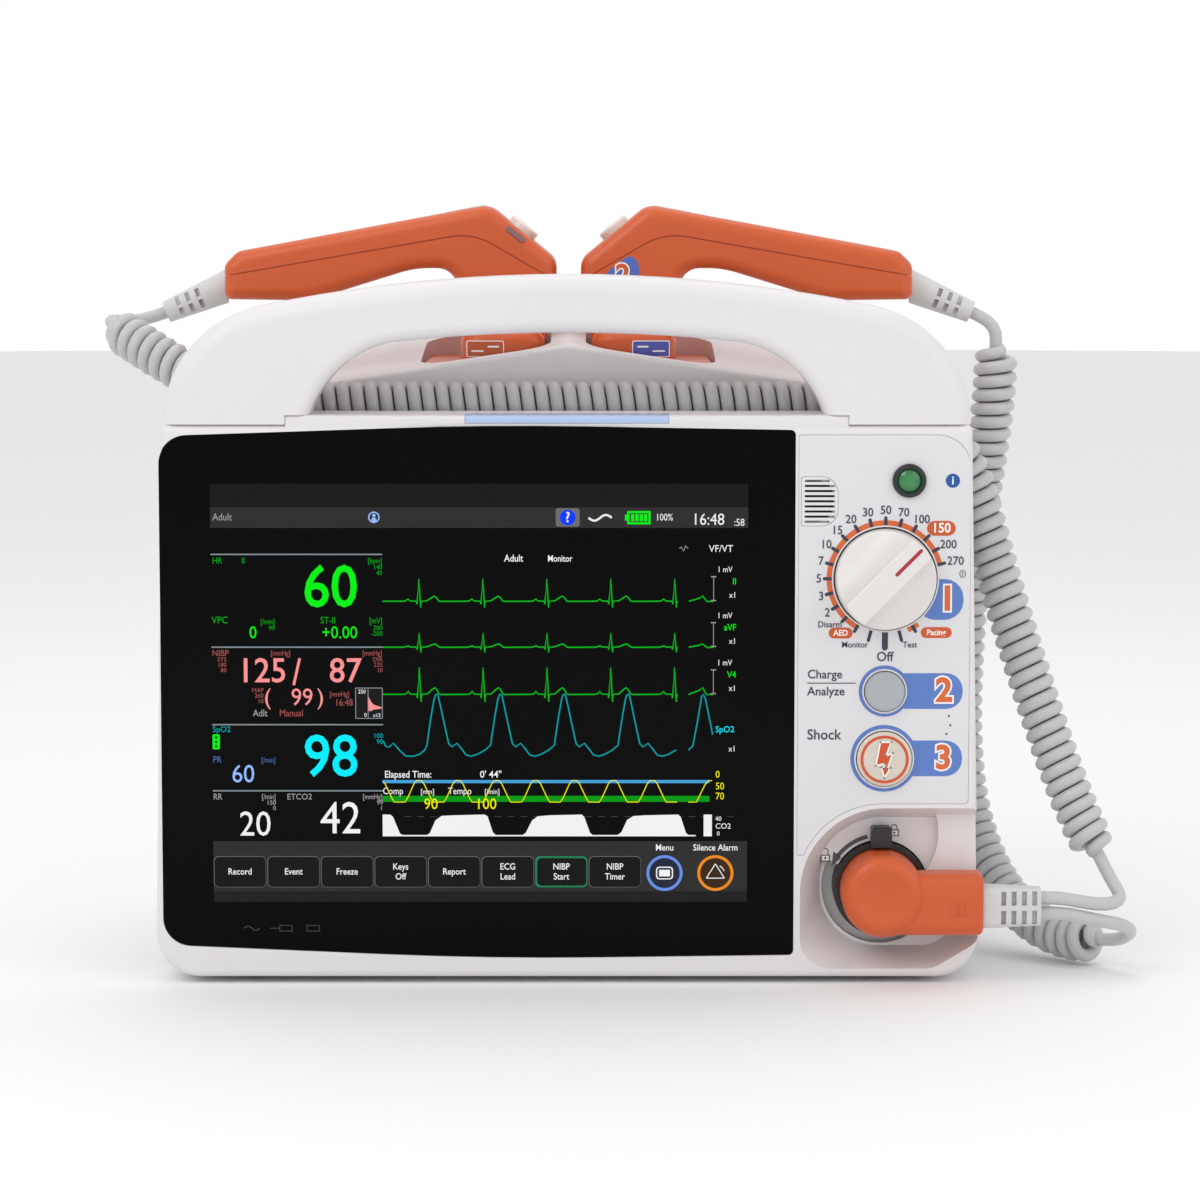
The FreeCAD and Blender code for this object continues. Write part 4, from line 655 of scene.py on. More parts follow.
def at_distance(line, distances, distance, hint):
    """Point and direction at a distance along a line, with the index to look from next."""
    while hint < len(line) - 2 and distances[hint + 1] < distance:
        hint += 1
    span = distances[hint + 1] - distances[hint]
    share = min(max((distance - distances[hint]) / span, 0.0), 1.0)
    point = line[hint].lerp(line[hint + 1], share)
    ahead = line[min(hint + 2, len(line) - 1)] - line[max(hint - 1, 0)]
    return point, ahead.normalized(), hint


def nearest_distance(line, distances, place):
    """Distance along a line of its point nearest to a place."""
    best = min(range(len(line)), key=lambda index: (line[index] - Vector(place)).length)
    return distances[best]


TURN_STEPS = 16                             # points that each turn of a coil gets


def curly_points(route, leads, cord, phase):
    """Points of one wire: straight lead, helix round the route, straight lead."""
    line = smooth_route(route)
    distances = measured(line)
    coil_start = nearest_distance(line, distances, leads[0])
    coil_end = nearest_distance(line, distances, leads[1])
    radius = (cord.coil - cord.wire) / 2
    turns = round((coil_end - coil_start) / cord.pitch)
    points = []
    hint = 0
    lead_step = cord.wire / 2
    distance = 0.0
    while distance < coil_start - lead_step:
        point, _, hint = at_distance(line, distances, distance, hint)
        points.append(point)
        distance += lead_step
    point, ahead, hint = at_distance(line, distances, coil_start, hint)
    side = ahead.orthogonal().normalized()
    for step in range(turns * TURN_STEPS + 1):
        done = step / TURN_STEPS
        distance = coil_start + (coil_end - coil_start) * done / turns
        point, ahead, hint = at_distance(line, distances, distance, hint)
        side = (side - ahead * side.dot(ahead)).normalized()
        across = ahead.cross(side)
        angle = phase + 2 * math.pi * done
        rise = min(done, turns - done, 1.0)
        reach = radius * rise * rise * (3 - 2 * rise)
        points.append(point + (side * math.cos(angle) + across * math.sin(angle)) * reach)
    distance = coil_end + lead_step
    while distance < distances[-1] - lead_step / 2:
        point, _, hint = at_distance(line, distances, distance, hint)
        points.append(point)
        distance += lead_step
    points.append(line[-1].copy())
    return points


def wire_mesh(name, points, diameter):
    """Round tube along points, closed at its ends, with the way along it kept as its UV map."""
    curve = bpy.data.curves.new(name, "CURVE")
    curve.dimensions = "3D"
    curve.bevel_depth = diameter / 2
    curve.bevel_resolution = 3
    curve.use_fill_caps = True
    spline = curve.splines.new("POLY")
    spline.points.add(len(points) - 1)
    for target, point in zip(spline.points, points):
        target.co = (*point, 1.0)
    spline.use_smooth = True
    data = mesh_of_curve(curve)
    data.name = name
    return data


class DEFIB_OT_cords(bpy.types.Operator):
    """Wind both curly cords along the routes of their solids."""
    bl_idname = "defib.cords"
    bl_label = "Curly cords"

    def execute(self, context):
        cord = context.scene.defib_cord
        jacket = cord_jacket()
        for name, route, leads, length, nodes, fold in (
                ("left_cord", LEFT_ROUTE, LEFT_LEADS, cord.left_length,
                 ("left_paddle_lead", "left_curly_cord", "upper_plug_lead"), (0, -0.040, -0.034)),
                ("right_cord", RIGHT_ROUTE, RIGHT_LEADS, cord.right_length,
                 ("right_paddle_lead", "right_curly_cord", "lower_plug_lead"), (0, -0.020, -0.100))):
            points = curly_points(route, leads, cord, math.radians(120))
            piece = bpy.data.objects.new(name, wire_mesh(name, points, cord.wire))
            context.scene.collection.objects.link(piece)
            piece.data.materials.append(jacket)
            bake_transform(piece)
            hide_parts(*nodes)
        return {"FINISHED"}


# ---- screen image: places in mm, right and down from the top left corner of the lit area
SCREEN_LEFT = LOW["display_module"].x + 0.0058
SCREEN_TOP = HIGH["display_module"].z - 0.0046
SCREEN_WIDTH = 206.6
SCREEN_HEIGHT = 162.6
COLUMN = 66.0                               # width of the column of readings
BEAT = 24.6                                 # one heart beat across the traces
FIRST_BEAT = 80.0
FIRST_PULSE = 111.4                         # its crest follows the second heart beat
PRESS = 15.03                               # one chest compression across the wave


class Drawing:
    """Flat marks gathered by colour; each colour becomes one piece."""

    def __init__(self, place):
        self.place = place
        self.layers = {}

    def sheet(self, colour):
        """Mesh that collects the marks of one colour."""
        if colour not in self.layers:
            self.layers[colour] = bmesh.new()
        return self.layers[colour]

    def shape(self, colour, points, lift=0):
        """Filled outline."""
        flat_polygon(self.sheet(colour), [(x * MM, y * MM) for x, y in points],
                     self.place(0, 0, lift))

    def block(self, colour, left, top, right, bottom, lift=0, radius=0.0):
        """Filled rectangle, with rounded corners if a radius is given."""
        width = right - left
        height = abs(bottom - top)
        points = (pill_points(width, height, radius, 5) if radius else
                  [(-width / 2, -height / 2), (width / 2, -height / 2),
                   (width / 2, height / 2), (-width / 2, height / 2)])
        flat_polygon(self.sheet(colour), [(x * MM, y * MM) for x, y in points],
                     self.place((left + right) / 2, (top + bottom) / 2, lift))

    def ring(self, colour, x, y, inner, outer, lift=0, start=0.0, end=2 * math.pi):
        """Flat ring or part of one."""
        band(self.sheet(colour), inner * MM, outer * MM, self.place(x, y, lift), start, end)

    def disc(self, colour, x, y, radius, lift=0):
        """Filled circle."""
        flat_polygon(self.sheet(colour), disc_points(radius * MM), self.place(x, y, lift))

    def stroke(self, colour, points, width, lift=0, offset=(0.0, 0.0)):
        """Line of a width along points, as a row of joined plates."""
        mesh = self.sheet(colour)
        matrix = self.place(*offset, lift)
        sides = []
        for index, point in enumerate(points):
            before = Vector(points[max(index - 1, 0)])
            after = Vector(points[min(index + 1, len(points) - 1)])
            along = (after - before).normalized()
            across = Vector((-along.y, along.x)) * width / 2
            corner = Vector(point)
            sides.append([mesh.verts.new(matrix @ Vector((spot.x * MM, spot.y * MM, PRINT)))
                          for spot in (corner + across, corner - across)])
        for first, last in zip(sides, sides[1:]):
            mesh.faces.new((first[0], first[1], last[1], last[0]))

    def say(self, colour, text, x, y, capital, align="CENTER", lift=2, bold=0.0, squeeze=1.0):
        """Words or numbers, centred in height on y."""
        lettering(self.sheet(colour), text, capital * MM, self.place(x, y, lift), align, bold,
                  squeeze=squeeze)

    def finish(self, name, finish_of, slot, body="console"):
        """Make one piece of each colour."""
        for colour, mesh in self.layers.items():
            finish_bmesh(mesh, "%s_%s" % (name, colour), finish_of(colour), body)


def on_screen(x, y, lift):
    """Place on the glass, from its distance right of and below the image's corner."""
    return upright(SCREEN_LEFT + x * MM, GLASS_Y - lift * PRINT, SCREEN_TOP - y * MM)


LIT = {"night": "1A1A1A", "bar": "303030", "footer": "212121", "rule": "8A9298", "grey": "A0A0A0",
       "white": "F4F4F4", "green": "00F514", "dim_green": "00A018", "trace_green": "00B81C",
       "rose": "FF9696", "dim_rose": "A35454", "cyan": "00F0FF", "dim_cyan": "00A0A8",
       "sky": "96BEFF", "dim_sky": "4A6AAA", "yellow": "F4F000", "band_blue": "46A4DC",
       "band_green": "009A10", "key": "171717", "key_edge": "6E6E6E", "key_green": "1E8258",
       "help_blue": "0A3CFF", "menu_blue": "6A90EA", "menu_fill": "262B3C", "alarm_orange": "F08C20",
       "alarm_fill": "3C2A1A", "mark": "4A4E44", "slate": "3A4150"}


def heart_trace(beat_height, dip, bump):
    """Offsets of one beat: a small wave, the spike, its dip and a slow wave."""
    return [(-6.0, 0.0), (-5.0, 0.2), (-4.2, 0.45 * bump), (-3.4, 0.1), (-1.0, 0.0), (-0.75, -0.5 * dip),
            (0.0, beat_height), (0.75, -dip), (1.1, 0.0), (3.2, 0.2), (4.6, 0.6 * bump), (6.0, bump),
            (6.8, 0.7 * bump), (7.7, 0.05), (9.0, -0.05)]


def draw_bars(drawing):
    """Header, status bar and the bar of keys."""
    drawing.block("night", 0, 0, SCREEN_WIDTH, 9.1)
    drawing.block("bar", 0, 9.1, SCREEN_WIDTH, 17.0)
    drawing.say("grey", "Adult", 0.9, 12.9, 2.9, "LEFT", squeeze=0.85)
    drawing.ring("sky", 62.9, 12.9, 1.7, 2.2, 1)
    drawing.disc("sky", 62.9, 12.2, 0.65, 1)
    drawing.disc("sky", 62.9, 13.9, 0.95, 1)
    drawing.block("key_edge", 132.7, 9.4, 141.9, 16.5, 1, 1.0)
    drawing.disc("help_blue", 137.3, 13.0, 3.0, 2)
    drawing.say("white", "?", 137.3, 13.0, 4.1, lift=3, bold=0.02)
    wave = [(145.3 + 8.9 * i / 16, -13.1 - 1.1 * math.sin(2 * math.pi * i / 16)) for i in range(17)]
    drawing.stroke("white", wave, 0.8, 1)
    drawing.block("green", 159.3, 11.9, 160.2, 14.2, 1)
    drawing.block("green", 160.2, 10.5, 169.1, 15.6, 1)
    drawing.block("bar", 161.0, 11.3, 168.3, 14.8, 2)
    for index in range(4):
        drawing.block("green", 161.6 + 1.65 * index, 11.7, 162.85 + 1.65 * index, 14.4, 3)
    drawing.say("white", "100%", 174.4, 13.0, 2.8, squeeze=0.8)
    drawing.say("white", "16:48", 191.3, 13.9, 4.6, squeeze=0.9)
    drawing.say("white", ":58", 203.2, 15.0, 2.9, squeeze=0.85)
    drawing.block("bar", 0, 138.7, SCREEN_WIDTH, 158.4)
    drawing.block("footer", 0, 158.4, SCREEN_WIDTH, SCREEN_HEIGHT)


def draw_keys(drawing):
    """Touch keys along the bottom and the two round ones."""
    keys = (("Record",), ("Event",), ("Freeze",), ("Keys", "Off"), ("Report",), ("ECG", "Lead"),
            ("NIBP", "Start"), ("NIBP", "Timer"))
    for index, words in enumerate(keys):
        left = 0.1 + 20.75 * index
        edge = "key_green" if index == 6 else "key_edge"
        drawing.block(edge, left, 144.6, left + 20.2, 156.8, 1, 1.9)
        rim = 0.75 if index == 6 else 0.25
        drawing.block("key", left + rim, 144.6 + rim, left + 20.2 - rim / 2, 156.9 - rim, 2, 1.7)
        for row, word in enumerate(words):
            down = 150.7 + (row - (len(words) - 1) / 2) * 3.9
            drawing.say("white", word, left + 10.1, down, 2.6, lift=3, bold=0.01, squeeze=0.88)
    for word, x, edge, fill in (("Menu", 174.7, "menu_blue", "menu_fill"),
                                ("Silence Alarm", 194.4, "alarm_orange", "alarm_fill")):
        drawing.say("white", word, x, 141.3, 2.6, bold=0.01, squeeze=0.88)
        drawing.disc(fill, x, 151.2, 6.2, 1)
        drawing.ring(edge, x, 151.2, 5.9, 7.0, 2)
    drawing.block("white", 171.4, 148.7, 178.0, 153.7, 2, 1.3)
    drawing.block("menu_fill", 171.85, 149.15, 177.55, 153.25, 3, 1.0)
    drawing.block("white", 172.6, 149.9, 176.8, 152.5, 4)
    triangle = [(190.9, -153.2), (197.9, -153.2), (194.4, -147.6), (190.9, -153.2)]
    for first, last in zip(triangle, triangle[1:]):
        drawing.stroke("white", [first, last], 0.35, 2)
    drawing.ring("white", 194.4, 151.6, 3.4, 3.75, 2, math.radians(20), math.radians(62))


def draw_readings(drawing):
    """Column of readings on the left."""
    for down in (27.2, 63.1, 93.2, 119.0):
        drawing.block("rule", 0, down - 0.25, COLUMN, down + 0.25, 1)
    say = drawing.say
    say("dim_green", "HR", 0.7, 29.7, 2.4, "LEFT", squeeze=0.85)
    say("dim_green", "II", 12.6, 29.7, 2.4, squeeze=0.85)
    say("green", "60", 46.0, 40.4, 16.8, squeeze=0.93, bold=0.012)
    say("dim_green", "[bpm]", COLUMN, 29.7, 2.1, "RIGHT", squeeze=0.8)
    say("dim_green", "140", COLUMN, 32.2, 1.8, "RIGHT", squeeze=0.95)
    say("dim_green", "40", COLUMN, 34.4, 1.8, "RIGHT", squeeze=0.95)
    say("dim_green", "VPC", 0.2, 52.7, 2.8, "LEFT", squeeze=0.9)
    say("dim_green", "[/min]", 24.6, 53.3, 2.1, "RIGHT", squeeze=0.8)
    say("dim_green", "99", 24.6, 55.8, 1.8, "RIGHT")
    say("green", "0", 16.1, 57.6, 4.9, squeeze=0.9)
    say("dim_green", "ST-II", 45.0, 52.8, 2.7, squeeze=0.85)
    say("green", "+0.00", 49.4, 57.6, 4.9, squeeze=0.9)
    say("dim_green", "[mV]", COLUMN, 52.9, 2.3, "RIGHT", squeeze=0.8)
    say("dim_green", "200", COLUMN, 55.7, 1.8, "RIGHT")
    say("dim_green", "-200", COLUMN, 57.9, 1.8, "RIGHT")
    say("dim_rose", "NIBP", 0.2, 65.5, 2.5, "LEFT", squeeze=0.9)
    say("dim_rose", "[mmHg]", 30.5, 65.5, 2.1, "RIGHT", squeeze=0.8)
    say("dim_rose", "[mmHg]", COLUMN - 0.2, 65.5, 2.1, "RIGHT", squeeze=0.8)
    for text, down in (("SYS", 67.9), ("180", 70.0), ("80", 72.1)):
        say("dim_rose", text, 5.8, down, 1.7, "RIGHT")
    for text, down in (("DIA", 67.9), ("235", 70.0), ("10", 72.1)):
        say("dim_rose", text, COLUMN, down, 1.7, "RIGHT")
    say("rose", "125", 19.5, 72.6, 9.8, squeeze=0.95, bold=0.008)
    drawing.stroke("rose", [(31.6, -77.8), (34.0, -67.4)], 1.0, 2)
    say("rose", "87", 51.6, 72.6, 9.8, squeeze=0.95, bold=0.008)
    for text, down in (("MAP", 79.9), ("260", 82.0), ("10", 84.1)):
        say("dim_rose", text, 20.0, down, 1.7, "RIGHT")
    say("rose", "(", 21.4, 82.6, 6.4)
    say("rose", "99", 34.8, 82.8, 6.9, squeeze=0.92)
    say("rose", ")", 42.0, 82.6, 6.4)
    say("dim_rose", "[mmHg]", 53.1, 81.4, 2.1, "RIGHT", squeeze=0.8)
    say("dim_rose", "16:48", 54.4, 84.7, 2.7, "RIGHT", squeeze=0.85)
    say("grey", "Adlt", 18.6, 88.8, 2.8, squeeze=0.85)
    say("dim_rose", "Manual", 30.6, 88.8, 2.8, squeeze=0.85)
    drawing.block("rule", 55.3, 78.8, 65.9, 90.9, 1)
    drawing.block("night", 55.6, 79.1, 60.1, 90.6, 2)
    drawing.block("night", 60.4, 79.1, 65.6, 90.6, 2)
    drawing.shape("rose", [(60.4, -87.8), (60.4, -82.3), (61.6, -84.6), (62.6, -85.5), (65.5, -86.4),
                           (65.5, -86.9), (62.0, -87.4), (61.6, -87.9)], 3)
    say("white", "250", 57.9, 80.4, 1.6, lift=3, squeeze=0.9)
    say("white", "0", 59.2, 89.5, 1.5, lift=3)
    say("white", "x1/2", 63.6, 89.6, 1.5, lift=3, squeeze=0.8)
    say("dim_cyan", "SpO2", 0.1, 95.1, 2.4, "LEFT", squeeze=0.95)
    drawing.block("green", 0.1, 97.0, 2.9, 102.8, 1, 0.5)
    for index in range(3):
        drawing.disc("night", 1.5, 98.2 + 1.7 * index, 0.5, 2)
    say("dim_cyan", "100", COLUMN, 97.6, 1.9, "RIGHT")
    say("dim_cyan", "90", COLUMN, 99.9, 1.9, "RIGHT")
    say("cyan", "98", 45.8, 106.2, 16.8, squeeze=0.93, bold=0.012)
    say("dim_sky", "PR", 0.1, 106.9, 2.6, "LEFT", squeeze=0.85)
    say("dim_sky", "[/min]", 24.4, 107.1, 2.1, "RIGHT", squeeze=0.8)
    say("sky", "60", 11.8, 112.7, 7.2, squeeze=0.92)
    say("grey", "RR", 0.1, 121.4, 2.5, "LEFT", squeeze=0.85)
    say("grey", "[/min]", 24.4, 121.4, 2.1, "RIGHT", squeeze=0.8)
    say("grey", "150", 24.4, 123.7, 1.8, "RIGHT")
    say("grey", "0", 24.4, 125.8, 1.8, "RIGHT")
    say("white", "20", 16.3, 132.4, 10.0, squeeze=0.92)
    say("grey", "ETCO2", 33.5, 121.4, 2.4, squeeze=0.95)
    say("grey", "[mmHg]", COLUMN - 0.4, 121.4, 2.1, "RIGHT", squeeze=0.8)
    say("grey", "99", COLUMN - 0.2, 123.7, 1.8, "RIGHT")
    say("grey", "1", COLUMN - 0.2, 125.8, 1.8, "RIGHT")
    say("white", "42", 49.4, 130.3, 13.0, squeeze=0.9)


def draw_traces(drawing, beats):
    """Heart traces, pulse wave, compression wave and breath wave."""
    say = drawing.say
    say("white", "Adult", 116.5, 28.8, 2.8, bold=0.01, squeeze=0.85)
    say("white", "Monitor", 134.3, 28.9, 2.6, bold=0.01, squeeze=0.8)
    drawing.stroke("grey", [(180.2, -24.8), (180.9, -24.3), (181.8, -26.0), (182.6, -23.8), (183.5, -24.9)],
                   0.35, 1)
    say("white", "VF/VT", 196.2, 25.1, 2.8, squeeze=0.95)
    sweep_end = 180.7
    restart = 183.9
    for lead, (down, height, dip, bump) in enumerate(((45.3, 8.6, 2.4, 2.0), (63.1, 5.5, 2.0, 1.3),
                                                      (81.4, 10.4, 2.9, 2.6))):
        line = [(COLUMN, -down)]
        for beat in range(beats):
            middle = FIRST_BEAT + BEAT * beat
            line.extend((middle + x, y - down) for x, y in heart_trace(height, dip, bump))
        before = [point for point in line if point[0] < sweep_end]
        drawing.stroke("trace_green", before, 0.5, 1)
        tail = [(restart, -down), (188.0, 0.6 * bump - down), (189.2, bump - down), (190.8, -down - 0.1),
                (193.4, -down)]
        drawing.stroke("trace_green", tail, 0.5, 1)
        top = down - 9.5
        drawing.stroke("grey", [(193.4, -top), (193.4, -down + 0.3)], 0.25, 1)
        for end in (top, down - 0.3):
            drawing.block("grey", 192.4, end - 0.2, 194.4, end + 0.2, 1)
        say("white", "1 mV", 197.7, top - 2.7, 2.3, squeeze=0.85)
        say("green", ("II", "aVF", "V4")[lead], 202.2, top + 1.9, 2.6, "RIGHT", squeeze=0.9)
        say("white", "x1", 202.2, top + 7.2, 2.3, "RIGHT", squeeze=0.9)
    base = -105.5
    rise = 24.2
    line = []
    for beat in range(-1, beats - 1):
        middle = FIRST_PULSE + BEAT * beat
        for x, share in ((-3.9, 0.18), (-3.4, 0.34), (-2.2, 0.66), (-1.1, 0.92), (-0.5, 0.99), (0.0, 1.0),
                         (0.5, 0.97), (1.3, 0.82), (2.6, 0.56), (3.8, 0.33), (4.5, 0.2), (5.7, 0.15),
                         (7.65, 0.21), (9.6, 0.11), (11.2, 0.02), (13.2, 0.0), (15.5, 0.03), (18.5, 0.1)):
            line.append((middle + x, base + rise * share))
    line = [point for point in line if COLUMN < point[0] < sweep_end]
    drawing.stroke("dim_cyan", [(COLUMN, base + 6.0), (67.0, base + 3.8), (68.3, base + 3.6),
                                (69.9, base + 5.1), (72.0, base + 2.6), (74.6, base + 0.1),
                                (77.8, base), (80.0, base + 0.8), (82.0, base + 2.4), *line], 0.5, 1)
    drawing.stroke("dim_cyan", [(restart, base + 2.4), (185.6, base + 4.2), (187.4, base + 14.0),
                                (188.9, base + 23.4), (189.5, base + 24.2), (190.4, base + 22.2),
                                (193.2, base + 8.4)], 0.5, 1)
    say("cyan", "SpO2", 197.9, 95.1, 2.5, squeeze=0.95)
    say("white", "x1", 202.2, 102.7, 2.3, "RIGHT", squeeze=0.9)
    say("white", "Elapsed Time:", 66.4, 112.7, 2.8, "LEFT", bold=0.01, squeeze=0.85)
    say("white", "0' 44\"", 107.5, 112.7, 2.8, bold=0.01, squeeze=0.95)
    drawing.block("band_blue", 65.6, 114.8, 192.0, 116.0, 1)
    drawing.block("band_green", 65.6, 121.0, 192.0, 123.3, 1)
    say("white", "Comp", 65.7, 119.2, 2.7, "LEFT", squeeze=0.85)
    say("white", "[mm]", 83.0, 119.4, 2.1, squeeze=0.85)
    say("white", "Tempo", 95.5, 119.2, 2.7, squeeze=0.85)
    say("white", "[/min]", 108.0, 119.4, 2.1, squeeze=0.85)
    press = [(COLUMN, -115.5)]
    for index in range(9):
        middle = 64.7 + PRESS * index
        press.extend((middle + x, y) for x, y in ((-0.9, -115.0), (0.9, -115.0), (1.9, -116.2),
                                                  (4.3, -121.4), (5.4, -123.4), (9.6, -123.4),
                                                  (10.8, -121.4), (13.0, -116.4)))
    drawing.stroke("yellow", [point for point in press if COLUMN <= point[0] < sweep_end], 0.35, 2)
    drawing.stroke("yellow", [(restart, -123.4), (187.0, -123.4), (190.4, -116.4), (191.6, -115.1),
                              (193.0, -115.0)], 0.35, 2)
    say("yellow", "90", 84.3, 124.3, 4.4, lift=3, squeeze=0.92)
    say("yellow", "100", 105.6, 124.3, 4.4, lift=3, squeeze=0.92)
    for text, down in (("0", 112.7), ("50", 117.3), ("70", 121.2)):
        say("yellow", text, 194.3, down, 2.8, "LEFT", squeeze=0.9)
    floor = -136.8
    drawing.block("white", 65.6, 136.3, 186.7, 136.8, 1)
    for points in ([(65.6, 8.5), (68.5, 8.5), (69.6, 7.6), (72.2, 1.2), (73.4, 0.4), (65.6, 0.4)],
                   [(82.6, 0.4), (83.8, 1.2), (86.0, 6.2), (88.4, 8.0), (93.0, 8.2), (105.0, 8.5),
                    (106.2, 7.8), (108.2, 1.6), (109.4, 0.4)],
                   [(119.6, 0.4), (121.0, 1.4), (123.4, 6.2), (125.6, 7.8), (130.0, 8.2), (142.6, 8.5),
                    (143.6, 7.6), (145.8, 1.4), (147.0, 0.4)],
                   [(156.4, 0.4), (158.0, 1.6), (160.2, 6.4), (162.6, 7.9), (167.0, 8.2), (180.0, 8.5),
                    (181.0, 7.4), (183.0, 1.2), (184.2, 0.4)]):
        drawing.shape("white", [(x, floor + y) for x, y in points], 1)
    drawing.block("white", 189.8, 128.3, 193.0, 136.8, 1)
    for index in range(26):
        left = 74.0 + 5.0 * index
        drawing.block("slate", left, 128.95, left + 2.6, 129.2, 0)
    say("white", "40", 194.3, 130.0, 1.8, "LEFT")
    say("white", "CO2", 194.3, 132.9, 2.2, "LEFT")
    say("white", "0", 194.9, 135.8, 1.7, "LEFT")


def draw_power_marks(drawing):
    """Faint mains and battery marks under the image."""
    wave = [(11.6 + 6.0 * i / 12, -172.9 + 0.8 * math.sin(2 * math.pi * i / 12)) for i in range(13)]
    drawing.stroke("mark", wave, 0.3, 1)
    for left, right in ((25.3, 30.4), (35.8, 41.0)):
        for top, bottom in ((171.7, 171.95), (173.9, 174.15)):
            drawing.block("mark", left, top, right, bottom, 1)
        for x in (left, right - 0.25):
            drawing.block("mark", x, 171.7, x + 0.25, 174.15, 1)
    drawing.stroke("mark", [(21.7, -172.9), (25.3, -172.9)], 0.25, 1)


class DEFIB_OT_screen(bpy.types.Operator):
    """Draw the lit image on the screen glass."""
    bl_idname = "defib.screen"
    bl_label = "Screen image"

    def execute(self, context):
        settings = context.scene.defib_screen
        drawing = Drawing(on_screen)
        draw_bars(drawing)
        draw_keys(drawing)
        draw_readings(drawing)
        draw_traces(drawing, settings.beats)
        draw_power_marks(drawing)
        drawing.finish("screen", lambda tone: lit("lit_" + tone, LIT[tone], settings.glow), "display")
        return {"FINISHED"}


# ---- printed marks of the control panel: places in mm from the knob's axis, right and up
INKS = {"navy": "2C3246", "orange": "D4622C", "pill_blue": "5578BE", "white": "F2F0EE",
        "deep_orange": "C9501E", "safety_blue": "0F4E98", "black": "1B1B1E"}
DIAL = ("270", "200", "150", "100", "70", "50", "30", "20", "15", "10", "7", "5", "3", "2", "Disarm",
        "AED", "Monitor", "Off", "Test", "Pacing")
PILLS = ("150", "AED", "Pacing")
CAPITALS = {"Disarm": 2.5, "AED": 2.3, "Monitor": 2.4, "Off": 3.8, "Test": 2.4, "Pacing": 2.3, "150": 3.8}
NUDGES = {"Monitor": (-3.6, 0.6), "Test": (2.2, 0.6), "Pacing": (4.4, 2.4), "AED": (-2.4, 2.2),
          "Disarm": (-0.6, 0.6)}
SQUEEZE = 0.93                              # width of the panel's letters, next to the font's own
TICK_START = 20.7
TICK_END = 24.1
LONG_TICK_END = 25.3
OFF_TICK_END = 27.8


def on_panel(x, y, lift, turn=0.0):
    """Place on the label sheet, from its distance right of and above the knob's axis."""
    return upright(CONTROL_X + x * MM, FACE_Y - lift * PRINT, KNOB_Z + y * MM, turn)


def text_width(text, capital, bold=0.0):
    """Width that a text takes, in mm."""
    sample = bmesh.new()
    lettering(sample, text, capital * MM, Matrix.Identity(4), "CENTER", bold)
    xs = [vert.co.x for vert in sample.verts]
    sample.free()
    return (max(xs) - min(xs)) / MM


def dial_tick(drawing, angle, start, end, width):
    """One mark of the dial, square inside and round outside."""
    steps = 6
    half = width / 2
    points = [(start, -half), (end - half, -half)]
    points += [(end - half + half * math.sin(math.pi * i / steps), -half * math.cos(math.pi * i / steps))
               for i in range(1, steps)]
    points += [(end - half, half), (start, half)]
    flat_polygon(drawing.sheet("navy"), [(x * MM, y * MM) for x, y in points],
                 on_panel(0, 0, 1, angle))


def draw_dial(drawing, dial):
    """Coloured band, marks and numbers round the energy knob."""
    step = dial.step
    inner = dial.ring_inner / MM
    outer = dial.ring_outer / MM
    drawing.ring("orange", 0, 0, inner, outer, 0, step, 16 * step)
    drawing.ring("orange", 0, 0, inner, outer, 0, 19.6 * step, 20.4 * step)
    for index, word in enumerate(DIAL):
        angle = step * (index + 1)
        word_dial = word in ("Monitor", "Test")
        end = OFF_TICK_END if word == "Off" else LONG_TICK_END if word_dial else TICK_END
        dial_tick(drawing, angle, TICK_START, end, 2.3 if word == "Off" else 1.3)
        capital = CAPITALS.get(word, 3.4)
        bold = 0.03 if word in PILLS else 0.012
        width = text_width(word, capital, bold) * SQUEEZE
        height = capital
        if word in PILLS:
            width += 4.6 if word != "AED" else 3.6
            height = capital + 1.9
        reach = end + 0.6
        x = reach * math.cos(angle) + math.cos(angle) * width / 2
        y = reach * math.sin(angle) + math.sin(angle) * height / 2
        right, up = NUDGES.get(word, (0.0, 0.0))
        x += right
        y += up
        if word in PILLS:
            drawing.block("deep_orange", x - width / 2, y - height / 2, x + width / 2, y + height / 2, 1,
                          height / 2)
        drawing.say("white" if word in PILLS else "navy", word, x, y, capital, lift=2, bold=bold,
                    squeeze=SQUEEZE)
    drawing.say("navy", "(J)", 29.7, 2.2, 2.5, lift=1, squeeze=SQUEEZE)


